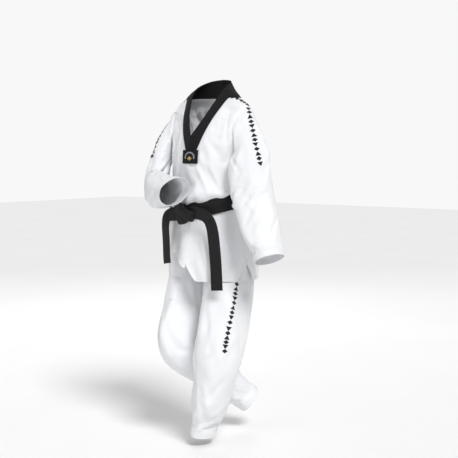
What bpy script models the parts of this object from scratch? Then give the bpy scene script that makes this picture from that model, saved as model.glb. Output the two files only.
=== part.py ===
"""Martial arts uniform as it hangs on a stepping wearer: jacket, knotted belt and trousers.

Frame: +Z up, the wearer's front faces -Y, the wearer's left is +X.
Origin: between the shoulders at the base of the neck, where the uniform is held up.
"""
from math import asin, cos, degrees, pi, radians, sin, sqrt

import bmesh
import bpy
from mathutils import Matrix, Vector

# ---------------------------------------------------------------- driving dimensions (metres)
FABRIC = 0.0025             # doubled or single cloth, as one plain layer
HEM_FABRIC = 0.0040         # folded and stitched hems
BELT_FABRIC = 0.0030
SEAM_GAP = 0.0008           # clearance left between neighbouring cloth edges
BELT_WIDTH = 0.044
BELT_SHIFT = 0.0075         # the two turns of the belt are not exactly on top of each other
V_BOTTOM_Z = -0.2125        # where the V neck ends, under the label tab
V_BOTTOM_X = 0.022          # half width of the band there
NECK_TOP_Z = -0.0135        # where the neckband leaves the shoulder seams
NECK_SIDE_X = 0.096
NECKBAND_PROUD = 0.0046
ARMHOLE_Z = -0.128          # centre height of the armholes
ARMHOLE_HALF = 0.078
ARMHOLE_OUT = 0.0050         # the sleeve starts this far outside the jacket
CAP_BULGE = 0.014           # fullness of the sleeve over the shoulder
ARMHOLE_SPREAD = 36.0       # degrees the armhole opens to the front and to the back
CROTCH_Z = -0.665
HEM_Z = -0.677              # skirt hem
PULLED_UP = (0.044, 0.094)  # how far the right front hem is raised at the slit, and beyond it
SLIT_TURN = 84.0            # side slits, degrees round from the front
SLIT_TOP_Z = -0.618
FRONT_SLIT_OPEN = 15.0      # degrees the left edge of the front slit swings away at the hem
SIDE_SLIT_OPEN = 17.0
SLIT_EDGE = 0.4             # degrees each flap stops short of its slit
WAISTBAND_TOP = -0.394
WAISTBAND_BOTTOM = -0.434
SLEEVE_HEM = 0.030
LEG_HEM = 0.036
CAP_END = 0.045             # distance down the arm where the shoulder cap ends
HIP_END = 0.075             # distance down the leg where the hip stretch ends
ELBOW_CLEAR = 0.082         # the bending stretch reaches this far each way from the elbow
KNEE_CLEAR = 0.100
RING = 20                   # points round a sleeve or a leg
TURN = 40                   # points round the waist

# How far each layer's outer face stands out from the jacket's
WAISTBAND_OUT = -0.0075
ELASTIC_OUT = -0.0108
SEAT_OUT = -0.0085
TAPE_OUT = 0.0026
INNER_TURN_OUT = 0.0046
OUTER_TURN_OUT = 0.0092
TAB_OUT = 0.0080
BADGE_OUT = 0.0096
TAB_TURN = 12.0             # half width of the label tab, in degrees round the chest
BADGE_TURN = 8.0

# Jacket outline by height: z, sideways shift, half width, depth to the front, depth to the back
TORSO = [
    (-0.700, -0.004, 0.192, 0.176, 0.140),
    (-0.620, -0.005, 0.187, 0.164, 0.134),
    (-0.540, -0.010, 0.177, 0.148, 0.120),
    (-0.430, -0.014, 0.163, 0.131, 0.102),
    (-0.320, -0.004, 0.158, 0.130, 0.104),
    (-0.200, 0.000, 0.168, 0.127, 0.108),
    (-0.130, 0.000, 0.172, 0.112, 0.102),
    (-0.080, 0.000, 0.172, 0.088, 0.090),
    (-0.045, 0.000, 0.163, 0.064, 0.074),
    (-0.010, 0.000, 0.118, 0.046, 0.060),
    (0.080, 0.000, 0.100, 0.046, 0.060),
]

# Sleeve and leg centre lines: point, half width sideways (r1) and across (r2)
LEFT_ELBOW = Vector((0.236, -0.068, -0.345))
LEFT_ARM = [
    (Vector((0.207, -0.052, -0.160)), 0.073, 0.045),
    (Vector((0.216, -0.063, -0.225)), 0.075, 0.047),
    (LEFT_ELBOW, 0.076, 0.052),
    (Vector((0.282, -0.090, -0.455)), 0.069, 0.056),
    (Vector((0.340, -0.110, -0.588)), 0.053, 0.060),
]
LEFT_ARM_SIDE = Vector((0.79, 0.61, 0.0))       # the sleeve hangs flat, broad side to the front left
RIGHT_ELBOW = Vector((-0.197, -0.112, -0.332))
RIGHT_ARM = [
    (Vector((-0.199, -0.030, -0.160)), 0.042, 0.066),
    (Vector((-0.211, -0.060, -0.225)), 0.042, 0.072),
    (RIGHT_ELBOW, 0.046, 0.070),
    (Vector((-0.105, -0.174, -0.350)), 0.058, 0.066),
    (Vector((-0.012, -0.208, -0.356)), 0.060, 0.060),
]
RIGHT_ARM_SIDE = Vector((-0.79, -0.61, 0.0))
RIGHT_MOUTH = Vector((0.78, -0.30, -0.50))      # the loose cuff hangs back below the wrist
LEFT_KNEE = Vector((0.104, -0.100, -0.935))
LEFT_LEG = [
    (Vector((0.088, -0.014, -0.667)), 0.081, 0.110),
    (Vector((0.102, -0.052, -0.790)), 0.091, 0.106),
    (LEFT_KNEE, 0.084, 0.098),
    (Vector((0.076, -0.106, -1.090)), 0.069, 0.083),
    (Vector((0.034, -0.106, -1.262)), 0.039, 0.056),
]
RIGHT_KNEE = Vector((-0.083, -0.098, -0.925))
RIGHT_LEG = [
    (Vector((-0.090, -0.012, -0.667)), 0.081, 0.108),
    (Vector((-0.092, -0.048, -0.790)), 0.080, 0.100),
    (RIGHT_KNEE, 0.076, 0.088),
    (Vector((-0.028, 0.056, -1.064)), 0.062, 0.074),
    (Vector((0.032, 0.186, -1.186)), 0.042, 0.055),
]

# Joint centres, where the pieces that swing have their origins
LEFT_SHOULDER = Vector((0.168, -0.005, -0.085))
RIGHT_SHOULDER = Vector((-0.168, -0.005, -0.085))
LEFT_HIP = Vector((0.085, 0.0, -0.567))
RIGHT_HIP = Vector((-0.087, 0.0, -0.567))
FRONT_FLAP_TOP = Vector((0.0, -0.140, -0.428))
BACK_FLAP_TOP = Vector((0.0, 0.106, -0.390))
LEFT_TAIL_TOP = Vector((0.111, -0.160, -0.458))
RIGHT_TAIL_TOP = Vector((-0.084, -0.174, -0.470))

# Inner edge of the neckband: from the V up to the shoulder seam, then round the back
NECK_EDGE_FRONT = [
    Vector((0.0, -0.133, -0.156)),
    Vector((0.030, -0.104, -0.098)),
    Vector((0.054, -0.066, -0.036)),
    Vector((0.066, -0.026, 0.018)),
    Vector((0.068, -0.002, 0.032)),
]
NECK_EDGE_BACK = [
    Vector((0.068, 0.001, 0.032)),
    Vector((0.052, 0.044, 0.050)),
    Vector((0.0, 0.062, 0.058)),
    Vector((-0.052, 0.044, 0.050)),
    Vector((-0.068, 0.001, 0.032)),
]

# Belt knot and tails: centre lines, and the directions their width lies in
KNOT_CENTRE = Vector((-0.006, -0.1600, -0.434))
KNOT_HALF = Vector((0.027, 0.0140, 0.031))
KNOT_SQUARENESS = 3.2
LEFT_ARM_ROUTE = [
    Vector((0.024, -0.156, -0.432)),
    Vector((0.052, -0.159, -0.436)),
    Vector((0.082, -0.158, -0.446)),
]
RIGHT_ARM_ROUTE = [
    Vector((-0.036, -0.156, -0.437)),
    Vector((-0.054, -0.160, -0.440)),
    Vector((-0.072, -0.164, -0.447)),
]
LEFT_TAIL_ROUTE = [
    Vector((0.111, -0.160, -0.462)),
    Vector((0.125, -0.157, -0.500)),
    Vector((0.132, -0.156, -0.560)),
    Vector((0.141, -0.157, -0.640)),
    Vector((0.146, -0.158, -0.708)),
]
RIGHT_TAIL_ROUTE = [
    Vector((-0.084, -0.174, -0.474)),
    Vector((-0.083, -0.176, -0.520)),
    Vector((-0.076, -0.180, -0.570)),
    Vector((-0.067, -0.182, -0.622)),
]
UPRIGHT = Vector((0.06, 0.0, 1.0)).normalized()
TILTED = Vector((0.55, -0.05, 0.83)).normalized()
LEFT_TAIL_ACROSS = Vector((0.93, 0.34, 0.06)).normalized()
RIGHT_TAIL_ACROSS = Vector((0.97, -0.22, 0.05)).normalized()

WHITE = (0.86, 0.86, 0.87)
BLACK = (0.012, 0.012, 0.014)
GREY = (0.30, 0.31, 0.33)
ELASTIC = (0.75, 0.75, 0.74)


# ---------------------------------------------------------------- helpers
def clear_scene():
    for thing in list(bpy.data.objects):
        bpy.data.objects.remove(thing, do_unlink=True)


def material(name, colour, roughness=0.85):
    made = bpy.data.materials.new(name)
    made.use_nodes = True
    shader = made.node_tree.nodes["Principled BSDF"]
    shader.inputs["Base Color"].default_value = (*colour, 1.0)
    shader.inputs["Roughness"].default_value = roughness
    shader.inputs["Metallic"].default_value = 0.0
    return made


def mix(a, b, t):
    return a + (b - a) * t


def smooth(t):
    t = min(max(t, 0.0), 1.0)
    return t * t * (3.0 - 2.0 * t)


def outline_at(z):
    """Sideways shift, half width, front depth and back depth of the jacket at height z."""
    rows = TORSO
    if z <= rows[0][0]:
        return rows[0][1:]
    for low, high in zip(rows, rows[1:]):
        if z <= high[0]:
            t = (z - low[0]) / (high[0] - low[0])
            return tuple(mix(a, b, t) for a, b in zip(low[1:], high[1:]))
    return rows[-1][1:]


def torso_point(turn, z, out=0.0):
    """Point on the jacket; turn is degrees from centre front towards the wearer's left."""
    shift, half, front, back = outline_at(z)
    angle = radians(turn)
    depth = front if cos(angle) > 0.0 else back
    return Vector((shift + (half + out) * sin(angle), -(depth + out) * cos(angle), z))


def belt_z(turn):
    """Height of the belt's centre line: it rides higher at the back and on the left."""
    x = 0.165 * sin(radians(turn))
    y = -0.115 * cos(radians(turn))
    return -0.4085 + 0.166 * x + 0.196 * y


def hem_z(turn):
    """Height of the skirt hem, level except where the right front is pulled up."""
    if turn >= 0.0:
        return HEM_Z
    return HEM_Z + PULLED_UP[0] + (PULLED_UP[1] - PULLED_UP[0]) * smooth(-turn / 24.0)


def neck_turn(z):
    """Turn of the neckband's outer edge on the front at height z."""
    rise = (z - V_BOTTOM_Z) / (NECK_TOP_Z - V_BOTTOM_Z)
    if rise <= 0.0:
        return 0.0
    x = mix(V_BOTTOM_X, NECK_SIDE_X, min(rise, 1.0) ** 0.95)
    shift, half, _, _ = outline_at(z)
    return degrees(asin(min((x - shift) / half, 0.999)))


def armhole_turn(z):
    """How far short of the side a body panel stops at height z, in degrees."""
    off = (z - ARMHOLE_Z) / ARMHOLE_HALF
    if abs(off) >= 1.0:
        return 0.35
    return max(0.35, ARMHOLE_SPREAD * sqrt(1.0 - off * off))


def solid(name, outer, inner, faces, mat):
    """One closed body from a sheet of faces given on an outer and an inner layer."""
    weld = {}
    index = []
    for number, point in enumerate(outer):
        key = tuple(round(c, 5) for c in point)
        index.append(weld.setdefault(key, number))
    used = {}
    sheet = bmesh.new()
    tops = {}
    bottoms = {}
    for number in sorted(set(index)):
        tops[number] = sheet.verts.new(outer[number])
        bottoms[number] = sheet.verts.new(inner[number])
    for face in faces:
        ring = []
        for number in face:
            if index[number] not in ring:
                ring.append(index[number])
        if len(ring) < 3:
            continue
        sheet.faces.new([tops[n] for n in ring])
        sheet.faces.new([bottoms[n] for n in reversed(ring)])
        for a, b in zip(ring, ring[1:] + ring[:1]):
            key = (min(a, b), max(a, b))
            used[key] = None if key in used else (a, b)
    for pair in used.values():
        if pair:
            a, b = pair
            sheet.faces.new([tops[b], tops[a], bottoms[a], bottoms[b]])
    loose = [v for v in sheet.verts if not v.link_faces]
    bmesh.ops.delete(sheet, geom=loose, context="VERTS")
    bmesh.ops.recalc_face_normals(sheet, faces=sheet.faces)
    mesh = bpy.data.meshes.new(name)
    sheet.to_mesh(mesh)
    sheet.free()
    mesh.materials.append(mat)
    mesh.shade_smooth()
    mesh.set_sharp_from_angle(angle=radians(40.0))
    made = bpy.data.objects.new(name, mesh)
    bpy.context.scene.collection.objects.link(made)
    return made


def grid_faces(rows, columns, closed=False, start=0):
    """Quads of a grid stored row by row, wrapping round its columns where it is closed."""
    faces = []
    last = columns if closed else columns - 1
    for r in range(rows - 1):
        for c in range(last):
            d = (c + 1) % columns
            low = start + r * columns
            high = low + columns
            faces.append((low + c, low + d, high + d, high + c))
    return faces


def band(name, turns, top, bottom, rows, out, thick, mat, closed=False):
    """Cloth that follows the torso outline between two heights, each a function of the turn."""
    outer = []
    inner = []
    for r in range(rows):
        for turn in turns:
            z = mix(top(turn), bottom(turn), r / (rows - 1))
            outer.append(torso_point(turn, z, out))
            inner.append(torso_point(turn, z, out - thick))
    return solid(name, outer, inner, grid_faces(rows, len(turns), closed), mat)


def spread(first, last, count):
    return [mix(first, last, i / (count - 1)) for i in range(count)]


def around(count=TURN):
    return [360.0 * i / count for i in range(count)]


# ---------------------------------------------------------------- limbs
def along(limb, distance):
    """Centre, tangent and half widths at a distance down a limb's smooth centre line."""
    spans = [(b[0] - a[0]).length for a, b in zip(limb, limb[1:])]
    total = sum(spans)
    distance = min(max(distance, 0.0), total - 1e-6)
    part = 0
    while distance > spans[part]:
        distance -= spans[part]
        part += 1
    t = distance / spans[part]
    before = limb[max(part - 1, 0)]
    a = limb[part]
    b = limb[part + 1]
    after = limb[min(part + 2, len(limb) - 1)]
    leave = (b[0] - before[0]) * 0.5
    arrive = (after[0] - a[0]) * 0.5
    h00 = 2 * t ** 3 - 3 * t ** 2 + 1
    h10 = t ** 3 - 2 * t ** 2 + t
    h01 = 3 * t ** 2 - 2 * t ** 3
    h11 = t ** 3 - t ** 2
    centre = a[0] * h00 + leave * h10 + b[0] * h01 + arrive * h11
    d00 = 6 * t ** 2 - 6 * t
    slope = (a[0] - b[0]) * d00 + leave * (3 * t ** 2 - 4 * t + 1) + arrive * (3 * t ** 2 - 2 * t)
    s = smooth(t)
    return centre, slope.normalized(), mix(a[1], b[1], s), mix(a[2], b[2], s)


def limb_length(limb):
    return sum((b[0] - a[0]).length for a, b in zip(limb, limb[1:]))


def distance_to(limb, number):
    return sum((b[0] - a[0]).length for a, b in zip(limb[:number], limb[1:number + 1]))


def ring_points(limb, distance, side, mouth=None):
    """A closed ring round the limb; side is the outward direction that r1 lies along."""
    centre, tangent, r1, r2 = along(limb, distance)
    if mouth:
        turned = smooth(distance / limb_length(limb) * 2.6 - 1.6)
        tangent = tangent.lerp(mouth.normalized(), turned).normalized()
    first = (side - tangent * side.dot(tangent)).normalized()
    second = tangent.cross(first)
    points = []
    for i in range(RING):
        angle = 2.0 * pi * i / RING
        points.append(centre + first * r1 * cos(angle) + second * r2 * sin(angle))
    return points


def tube(name, rings, thick, mat):
    """A closed tube of cloth from rings of outer points."""
    outer = []
    inner = []
    for ring in rings:
        centre = sum(ring, Vector()) / len(ring)
        for point in ring:
            outer.append(point)
            inner.append(point + (centre - point).normalized() * thick)
    return solid(name, outer, inner, grid_faces(len(rings), RING, closed=True), mat)


def limb_tube(name, limb, first, last, rows, side, mat, thick=FABRIC, mouth=None):
    rings = [ring_points(limb, d, side, mouth) for d in spread(first, last, rows)]
    return tube(name, rings, thick, mat)


def flat_ring(limb, hand, z):
    """The level ring where a leg leaves the seat, starting at its outer side."""
    centre, r1, r2 = limb[0]
    points = []
    for i in range(RING):
        angle = 2.0 * pi * i / RING
        points.append(Vector((centre.x + hand * r1 * cos(angle), centre.y - hand * r2 * sin(angle), z)))
    return points


def armhole_ring(hand):
    """Ring on the jacket round an armhole, starting at the top and running to the front."""
    points = []
    for i in range(RING):
        angle = 2.0 * pi * i / RING
        z = ARMHOLE_Z + ARMHOLE_HALF * cos(angle)
        open_by = ARMHOLE_SPREAD * abs(sin(angle))
        if sin(angle) * hand < 0.0:
            turn = hand * (90.0 + open_by)
        else:
            turn = hand * (90.0 - open_by)
        points.append(torso_point(turn, z, ARMHOLE_OUT))
    return points


def sleeve(label, limb, hand, side, mat, mouth=None):
    """Cap, upper, elbow and lower stretches of a sleeve, and its hem."""
    elbow = distance_to(limb, 2)
    end = limb_length(limb)
    above = elbow - ELBOW_CLEAR
    below = elbow + ELBOW_CLEAR
    start = armhole_ring(hand)
    target = ring_points(limb, CAP_END, side)
    rows = []
    for s in spread(0.0, 1.0, 5):
        bulge = Vector((hand, 0.0, 0.5)) * CAP_BULGE * sin(pi * s)
        row = [a.lerp(b, s) for a, b in zip(start, target)]
        for i, point in enumerate(row):
            row[i] = point + bulge * max(cos(2.0 * pi * i / RING), 0.0)
        rows.append(row)
    tube(label + "_cap", rows, FABRIC, mat)
    hem = end - SLEEVE_HEM
    limb_tube(label + "_upper", limb, CAP_END + SEAM_GAP, above, 4, side, mat)
    limb_tube(label + "_elbow", limb, above + SEAM_GAP, below, 8, side, mat, mouth=mouth)
    limb_tube(label + "_lower", limb, below + SEAM_GAP, hem, 4, side, mat, mouth=mouth)
    limb_tube(label + "_hem", limb, hem + SEAM_GAP, end, 2, side, mat, HEM_FABRIC, mouth)


def seat_half(name, limb, hand, mat):
    """Half of the trousers' seat: an open sheet at the waist that closes into a leg below."""
    columns = 17
    rows = 9
    top = WAISTBAND_BOTTOM - 0.002
    centre, half, depth = limb[0]
    outer = []
    inner = []
    for r in range(rows):
        s = r / (rows - 1)
        z = mix(top, CROTCH_Z, s)
        close = 0.965 * smooth((s - 0.30) / 0.70)
        for c in range(columns):
            t = c / (columns - 1)
            angle = pi * (1.0 + 2.0 * t)
            open_point = torso_point(hand * mix(0.5, 179.5, t), z, SEAT_OUT)
            leg_point = Vector((centre.x + hand * half * cos(angle), centre.y - depth * sin(angle - pi), z))
            point = open_point.lerp(leg_point, close)
            middle = Vector((mix(0.0, centre.x, max(close, 0.25)), mix(0.0, centre.y, close), z))
            outer.append(point)
            inner.append(point + (middle - point).normalized() * FABRIC)
    for row in range(0, rows * columns, columns):
        for end in (row, row + columns - 1):
            outer[end].x = hand * max(abs(outer[end].x), SEAM_GAP)
            inner[end].x = hand * max(abs(inner[end].x), SEAM_GAP)
    return solid(name, outer, inner, grid_faces(rows, columns), mat)


def trouser_leg(label, limb, hand, mat):
    """Hip, thigh, knee and shin stretches of a leg, and its hem."""
    side = Vector((hand, 0.0, 0.0))
    knee = distance_to(limb, 2)
    end = limb_length(limb)
    above = knee - KNEE_CLEAR
    below = knee + KNEE_CLEAR
    hem = end - LEG_HEM
    start = flat_ring(limb, hand, CROTCH_Z - SEAM_GAP)
    target = ring_points(limb, HIP_END, side)
    rows = []
    for s in (0.0, 0.33, 0.66, 1.0):
        rows.append([a.lerp(b, s) for a, b in zip(start, target)])
    tube(label + "_hip", rows, FABRIC, mat)
    limb_tube(label + "_thigh", limb, HIP_END + SEAM_GAP, above, 4, side, mat)
    limb_tube(label + "_knee", limb, above + SEAM_GAP, below, 8, side, mat)
    limb_tube(label + "_shin", limb, below + SEAM_GAP, hem, 5, side, mat)
    limb_tube(label + "_hem", limb, hem + SEAM_GAP, end, 2, side, mat, HEM_FABRIC)


# ---------------------------------------------------------------- jacket
def jacket_front(mat):
    """Front panel from the belt to the shoulder seams, open along the V neck."""
    heights = [None, -0.36, -0.30, -0.25, V_BOTTOM_Z - 0.0030, V_BOTTOM_Z - 0.0015, -0.18, -0.15,
               -0.12, -0.095, -0.07, -0.045, NECK_TOP_Z - 0.0035]
    columns = 9
    outer = []
    inner = []
    faces = []
    for hand in (1.0, -1.0):
        start = len(outer)
        for number, z_row in enumerate(heights):
            at = V_BOTTOM_Z if z_row is None else z_row
            first = neck_turn(max(at, V_BOTTOM_Z + 0.0001)) + 1.6 if number > 4 else 0.0
            last = 90.0 - armhole_turn(at)
            for turn in spread(first, last, columns):
                z = belt_z(hand * turn) + SEAM_GAP if z_row is None else z_row
                outer.append(torso_point(hand * turn, z))
                inner.append(torso_point(hand * turn, z, -FABRIC))
        faces += grid_faces(len(heights), columns, start=start)
    return solid("jacket_front", outer, inner, faces, mat)


def jacket_back(mat):
    heights = [None, -0.34, -0.27, -0.205, -0.18, -0.15, -0.12, -0.095, -0.07, -0.045,
               NECK_TOP_Z - 0.0035]
    columns = 17
    outer = []
    inner = []
    for z_row in heights:
        at = -0.30 if z_row is None else z_row
        side = armhole_turn(at)
        for turn in spread(90.0 + side, 270.0 - side, columns):
            z = belt_z(turn) + SEAM_GAP if z_row is None else z_row
            outer.append(torso_point(turn, z))
            inner.append(torso_point(turn, z, -FABRIC))
    return solid("jacket_back", outer, inner, grid_faces(len(heights), columns), mat)


def skirt(name, first, last, columns, mat, first_open=0.0, last_open=0.0):
    """A flap below the belt whose edges swing open below the tops of its slits."""
    rows = 9
    outer = []
    inner = []
    for r in range(rows):
        for turn in spread(first, last, columns):
            z = mix(belt_z(turn) - SEAM_GAP, hem_z(turn), r / (rows - 1))
            below = max(SLIT_TOP_Z - z, 0.0) / (SLIT_TOP_Z - HEM_Z)
            across = (turn - first) / (last - first)
            place = turn + below * (first_open * (1.0 - across) ** 2 + last_open * across ** 2)
            outer.append(torso_point(place, z))
            inner.append(torso_point(place, z, -FABRIC))
    return solid(name, outer, inner, grid_faces(rows, columns), mat)


def slit_tape(name, turn, opens, bottom, mat):
    """Narrow facing stitched over the cloth along one edge of a slit."""
    rows = 5
    half = 1.6
    outer = []
    inner = []
    for r in range(rows):
        z = mix(SLIT_TOP_Z + 0.006, bottom, r / (rows - 1))
        below = max(SLIT_TOP_Z - z, 0.0) / (SLIT_TOP_Z - HEM_Z)
        for step in (-half, 0.0, half):
            outer.append(torso_point(turn + step + below * opens, z, TAPE_OUT))
            inner.append(torso_point(turn + step + below * opens, z, TAPE_OUT - 0.0016))
    return solid(name, outer, inner, grid_faces(rows, 3), mat)


def curve_points(points, count):
    """Even steps along a smooth curve through hand-set points."""
    made = []
    for i in range(count):
        place = i / (count - 1) * (len(points) - 1)
        part = min(int(place), len(points) - 2)
        t = place - part
        p0 = points[max(part - 1, 0)]
        p1 = points[part]
        p2 = points[part + 1]
        p3 = points[min(part + 2, len(points) - 1)]
        made.append(0.5 * (2 * p1 + (p2 - p0) * t + (2 * p0 - 5 * p1 + 4 * p2 - p3) * t * t
                           + (3 * p1 - p0 - 3 * p2 + p3) * t ** 3))
    return made


def strip(name, lower, upper, thick, mat, rows=3):
    """A ribbon between two edge curves, with its thickness standing inwards."""
    outer = []
    inner = []
    count = len(lower)
    for i in range(count):
        step = (lower[min(i + 1, count - 1)] - lower[max(i - 1, 0)]).normalized()
        across = (upper[i] - lower[i]).normalized()
        normal = step.cross(across).normalized()
        if normal.dot(lower[i] - Vector((0.0, 0.0, lower[i].z))) < 0.0:
            normal = -normal
        for r in range(rows):
            point = lower[i].lerp(upper[i], r / (rows - 1))
            outer.append(point)
            inner.append(point - normal * thick)
    return solid(name, outer, inner, grid_faces(count, rows), mat)


def neckband(mat):
    """Left, right and back lengths of the V neck's band, joined at the shoulder seams."""
    count = 13
    on_front = 0.8
    for label, hand in (("left", 1.0), ("right", -1.0)):
        lower = [torso_point(0.0, V_BOTTOM_Z)]
        for i in range(1, count):
            t = (i - 1) / (count - 2)
            z = mix(V_BOTTOM_Z + 0.0001, NECK_TOP_Z, min(t / on_front, 1.0))
            turn = mix(neck_turn(z), 89.4, max(t - on_front, 0.0) / (1.0 - on_front))
            lower.append(torso_point(hand * turn, z, NECKBAND_PROUD))
        upper = [Vector((hand * p.x, p.y, p.z)) for p in curve_points(NECK_EDGE_FRONT, count)]
        lower[0].x = hand * SEAM_GAP
        upper[0].x = hand * SEAM_GAP
        strip("neckband_" + label, lower, upper, FABRIC, mat)
    lower = [torso_point(turn, NECK_TOP_Z) for turn in spread(90.6, 269.4, count)]
    strip("neckband_back", lower, curve_points(NECK_EDGE_BACK, count), FABRIC, mat)


def label_tab(black, grey):
    """Cloth tab under the V and the raised badge on it."""
    turns = spread(-TAB_TURN, TAB_TURN, 5)
    band("neck_tab", turns, lambda t: -0.2075, lambda t: -0.2560, 3, TAB_OUT, 0.0022, black)
    turns = spread(-BADGE_TURN, BADGE_TURN, 5)
    band("tab_badge", turns, lambda t: -0.2120, lambda t: -0.2480, 3, BADGE_OUT, 0.0011, grey)


def jacket(white, black, grey):
    jacket_front(white)
    jacket_back(white)
    side = SLIT_TURN - SLIT_EDGE
    skirt("skirt_front_left", 0.5, side, 10, white, FRONT_SLIT_OPEN, -SIDE_SLIT_OPEN)
    skirt("skirt_front_right", -0.5, -side, 10, white)
    skirt("skirt_back", SLIT_TURN + SLIT_EDGE, 360.0 - SLIT_TURN - SLIT_EDGE, 19, white)
    slit_tape("slit_tape_front_left", 2.4, FRONT_SLIT_OPEN, HEM_Z + 0.002, white)
    slit_tape("slit_tape_front_right", -2.4, 0.0, hem_z(-2.4) + 0.004, white)
    slit_tape("slit_tape_side_left", side - 2.0, -SIDE_SLIT_OPEN, HEM_Z + 0.002, white)
    slit_tape("slit_tape_back_left", SLIT_TURN + 2.4, 0.0, HEM_Z + 0.002, white)
    slit_tape("slit_tape_back_right", 360.0 - SLIT_TURN - 2.4, 0.0, HEM_Z + 0.002, white)
    neckband(black)
    label_tab(black, grey)
    sleeve("sleeve_left", LEFT_ARM, 1.0, LEFT_ARM_SIDE, white)
    sleeve("sleeve_right", RIGHT_ARM, -1.0, RIGHT_ARM_SIDE, white, RIGHT_MOUTH)


# ---------------------------------------------------------------- belt
def belt_turn(name, out, lift, mat):
    def top(turn):
        return belt_z(turn) + lift + BELT_WIDTH / 2.0

    def bottom(turn):
        return belt_z(turn) + lift - BELT_WIDTH / 2.0
    return band(name, around(), top, bottom, 4, out, BELT_FABRIC, mat, closed=True)


def pillow(name, centre, half, power, mat):
    """A rounded block, squarer than an ellipsoid, for a pulled-tight knot."""
    shape = bmesh.new()
    bmesh.ops.create_uvsphere(shape, u_segments=16, v_segments=10, radius=1.0)
    for vert in shape.verts:
        size = sum(abs(c) ** power for c in vert.co) ** (1.0 / power)
        unit = vert.co / size
        vert.co = Vector((unit.x * half.x, unit.y * half.y, unit.z * half.z)) + centre
    mesh = bpy.data.meshes.new(name)
    shape.to_mesh(mesh)
    shape.free()
    mesh.materials.append(mat)
    mesh.shade_smooth()
    made = bpy.data.objects.new(name, mesh)
    bpy.context.scene.collection.objects.link(made)
    return made


def tail(name, route, widths, mat, count=12):
    """A flat length of belt along a route, its width lying across it."""
    centre = curve_points(route, count)
    across = curve_points(widths, count)
    lower = []
    upper = []
    for point, side in zip(centre, across):
        lower.append(point - side * BELT_WIDTH / 2.0)
        upper.append(point + side * BELT_WIDTH / 2.0)
    return strip(name, lower, upper, BELT_FABRIC, mat, rows=2)


def belt(black):
    belt_turn("belt_inner_turn", INNER_TURN_OUT, BELT_SHIFT, black)
    belt_turn("belt_outer_turn", OUTER_TURN_OUT, -BELT_SHIFT, black)
    pillow("knot_core", KNOT_CENTRE, KNOT_HALF, KNOT_SQUARENESS, black)
    tail("knot_arm_left", LEFT_ARM_ROUTE, [UPRIGHT, UPRIGHT, TILTED], black, 7)
    tail("knot_arm_right", RIGHT_ARM_ROUTE, [UPRIGHT, UPRIGHT], black, 7)
    tail("belt_tail_left", LEFT_TAIL_ROUTE, [LEFT_TAIL_ACROSS, LEFT_TAIL_ACROSS], black)
    tail("belt_tail_right", RIGHT_TAIL_ROUTE, [RIGHT_TAIL_ACROSS, RIGHT_TAIL_ACROSS], black)


# ---------------------------------------------------------------- trousers
def level_band(name, top, bottom, out, thick, mat):
    band(name, around(), lambda turn: top, lambda turn: bottom, 2, out, thick, mat, closed=True)


def trousers(white, elastic):
    level_band("waistband", WAISTBAND_TOP, WAISTBAND_BOTTOM, WAISTBAND_OUT, FABRIC, white)
    level_band("waist_elastic", WAISTBAND_TOP - 0.003, WAISTBAND_BOTTOM + 0.003, ELASTIC_OUT, 0.0016,
               elastic)
    for label, limb, hand in (("left", LEFT_LEG, 1.0), ("right", RIGHT_LEG, -1.0)):
        seat_half("trouser_seat_" + label, limb, hand, white)
        trouser_leg("trouser_" + label, limb, hand, white)


# ---------------------------------------------------------------- joints
def pivot(centre, *names):
    """Puts the origins of the named pieces on the joint that they swing about."""
    for name in names:
        thing = bpy.data.objects[name]
        thing.data.transform(Matrix.Translation(-centre))
        thing.location = centre


def set_pivots():
    pivot(LEFT_SHOULDER, "sleeve_left_upper", "sleeve_left_elbow")
    pivot(LEFT_ELBOW, "sleeve_left_lower", "sleeve_left_hem")
    pivot(RIGHT_SHOULDER, "sleeve_right_upper", "sleeve_right_elbow")
    pivot(RIGHT_ELBOW, "sleeve_right_lower", "sleeve_right_hem")
    pivot(LEFT_HIP, "trouser_left_thigh", "trouser_left_knee")
    pivot(LEFT_KNEE, "trouser_left_shin", "trouser_left_hem")
    pivot(RIGHT_HIP, "trouser_right_thigh", "trouser_right_knee")
    pivot(RIGHT_KNEE, "trouser_right_shin", "trouser_right_hem")
    pivot(FRONT_FLAP_TOP, "skirt_front_left", "slit_tape_front_left", "slit_tape_side_left")
    pivot(FRONT_FLAP_TOP, "skirt_front_right", "slit_tape_front_right")
    pivot(BACK_FLAP_TOP, "skirt_back", "slit_tape_back_left", "slit_tape_back_right")
    pivot(LEFT_TAIL_TOP, "belt_tail_left")
    pivot(RIGHT_TAIL_TOP, "belt_tail_right")


def main():
    clear_scene()
    white = material("white_cloth", WHITE)
    black = material("black_cloth", BLACK)
    grey = material("badge_cloth", GREY)
    elastic = material("elastic", ELASTIC)
    jacket(white, black, grey)
    belt(black)
    trousers(white, elastic)
    set_pivots()


main()
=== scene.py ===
"""Looks of the martial arts uniform: cloth, belt, neckband, label, floor, lights and camera.

Every surface repeats the frame's own outline at a finer step and then gets its folds.
Frame: +Z up, the wearer's front faces -Y, the wearer's left is +X, metres.
"""
from math import cos, pi, radians, sin, sqrt

import bpy
import numpy as np
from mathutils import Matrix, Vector
from mathutils.bvhtree import BVHTree


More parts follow.
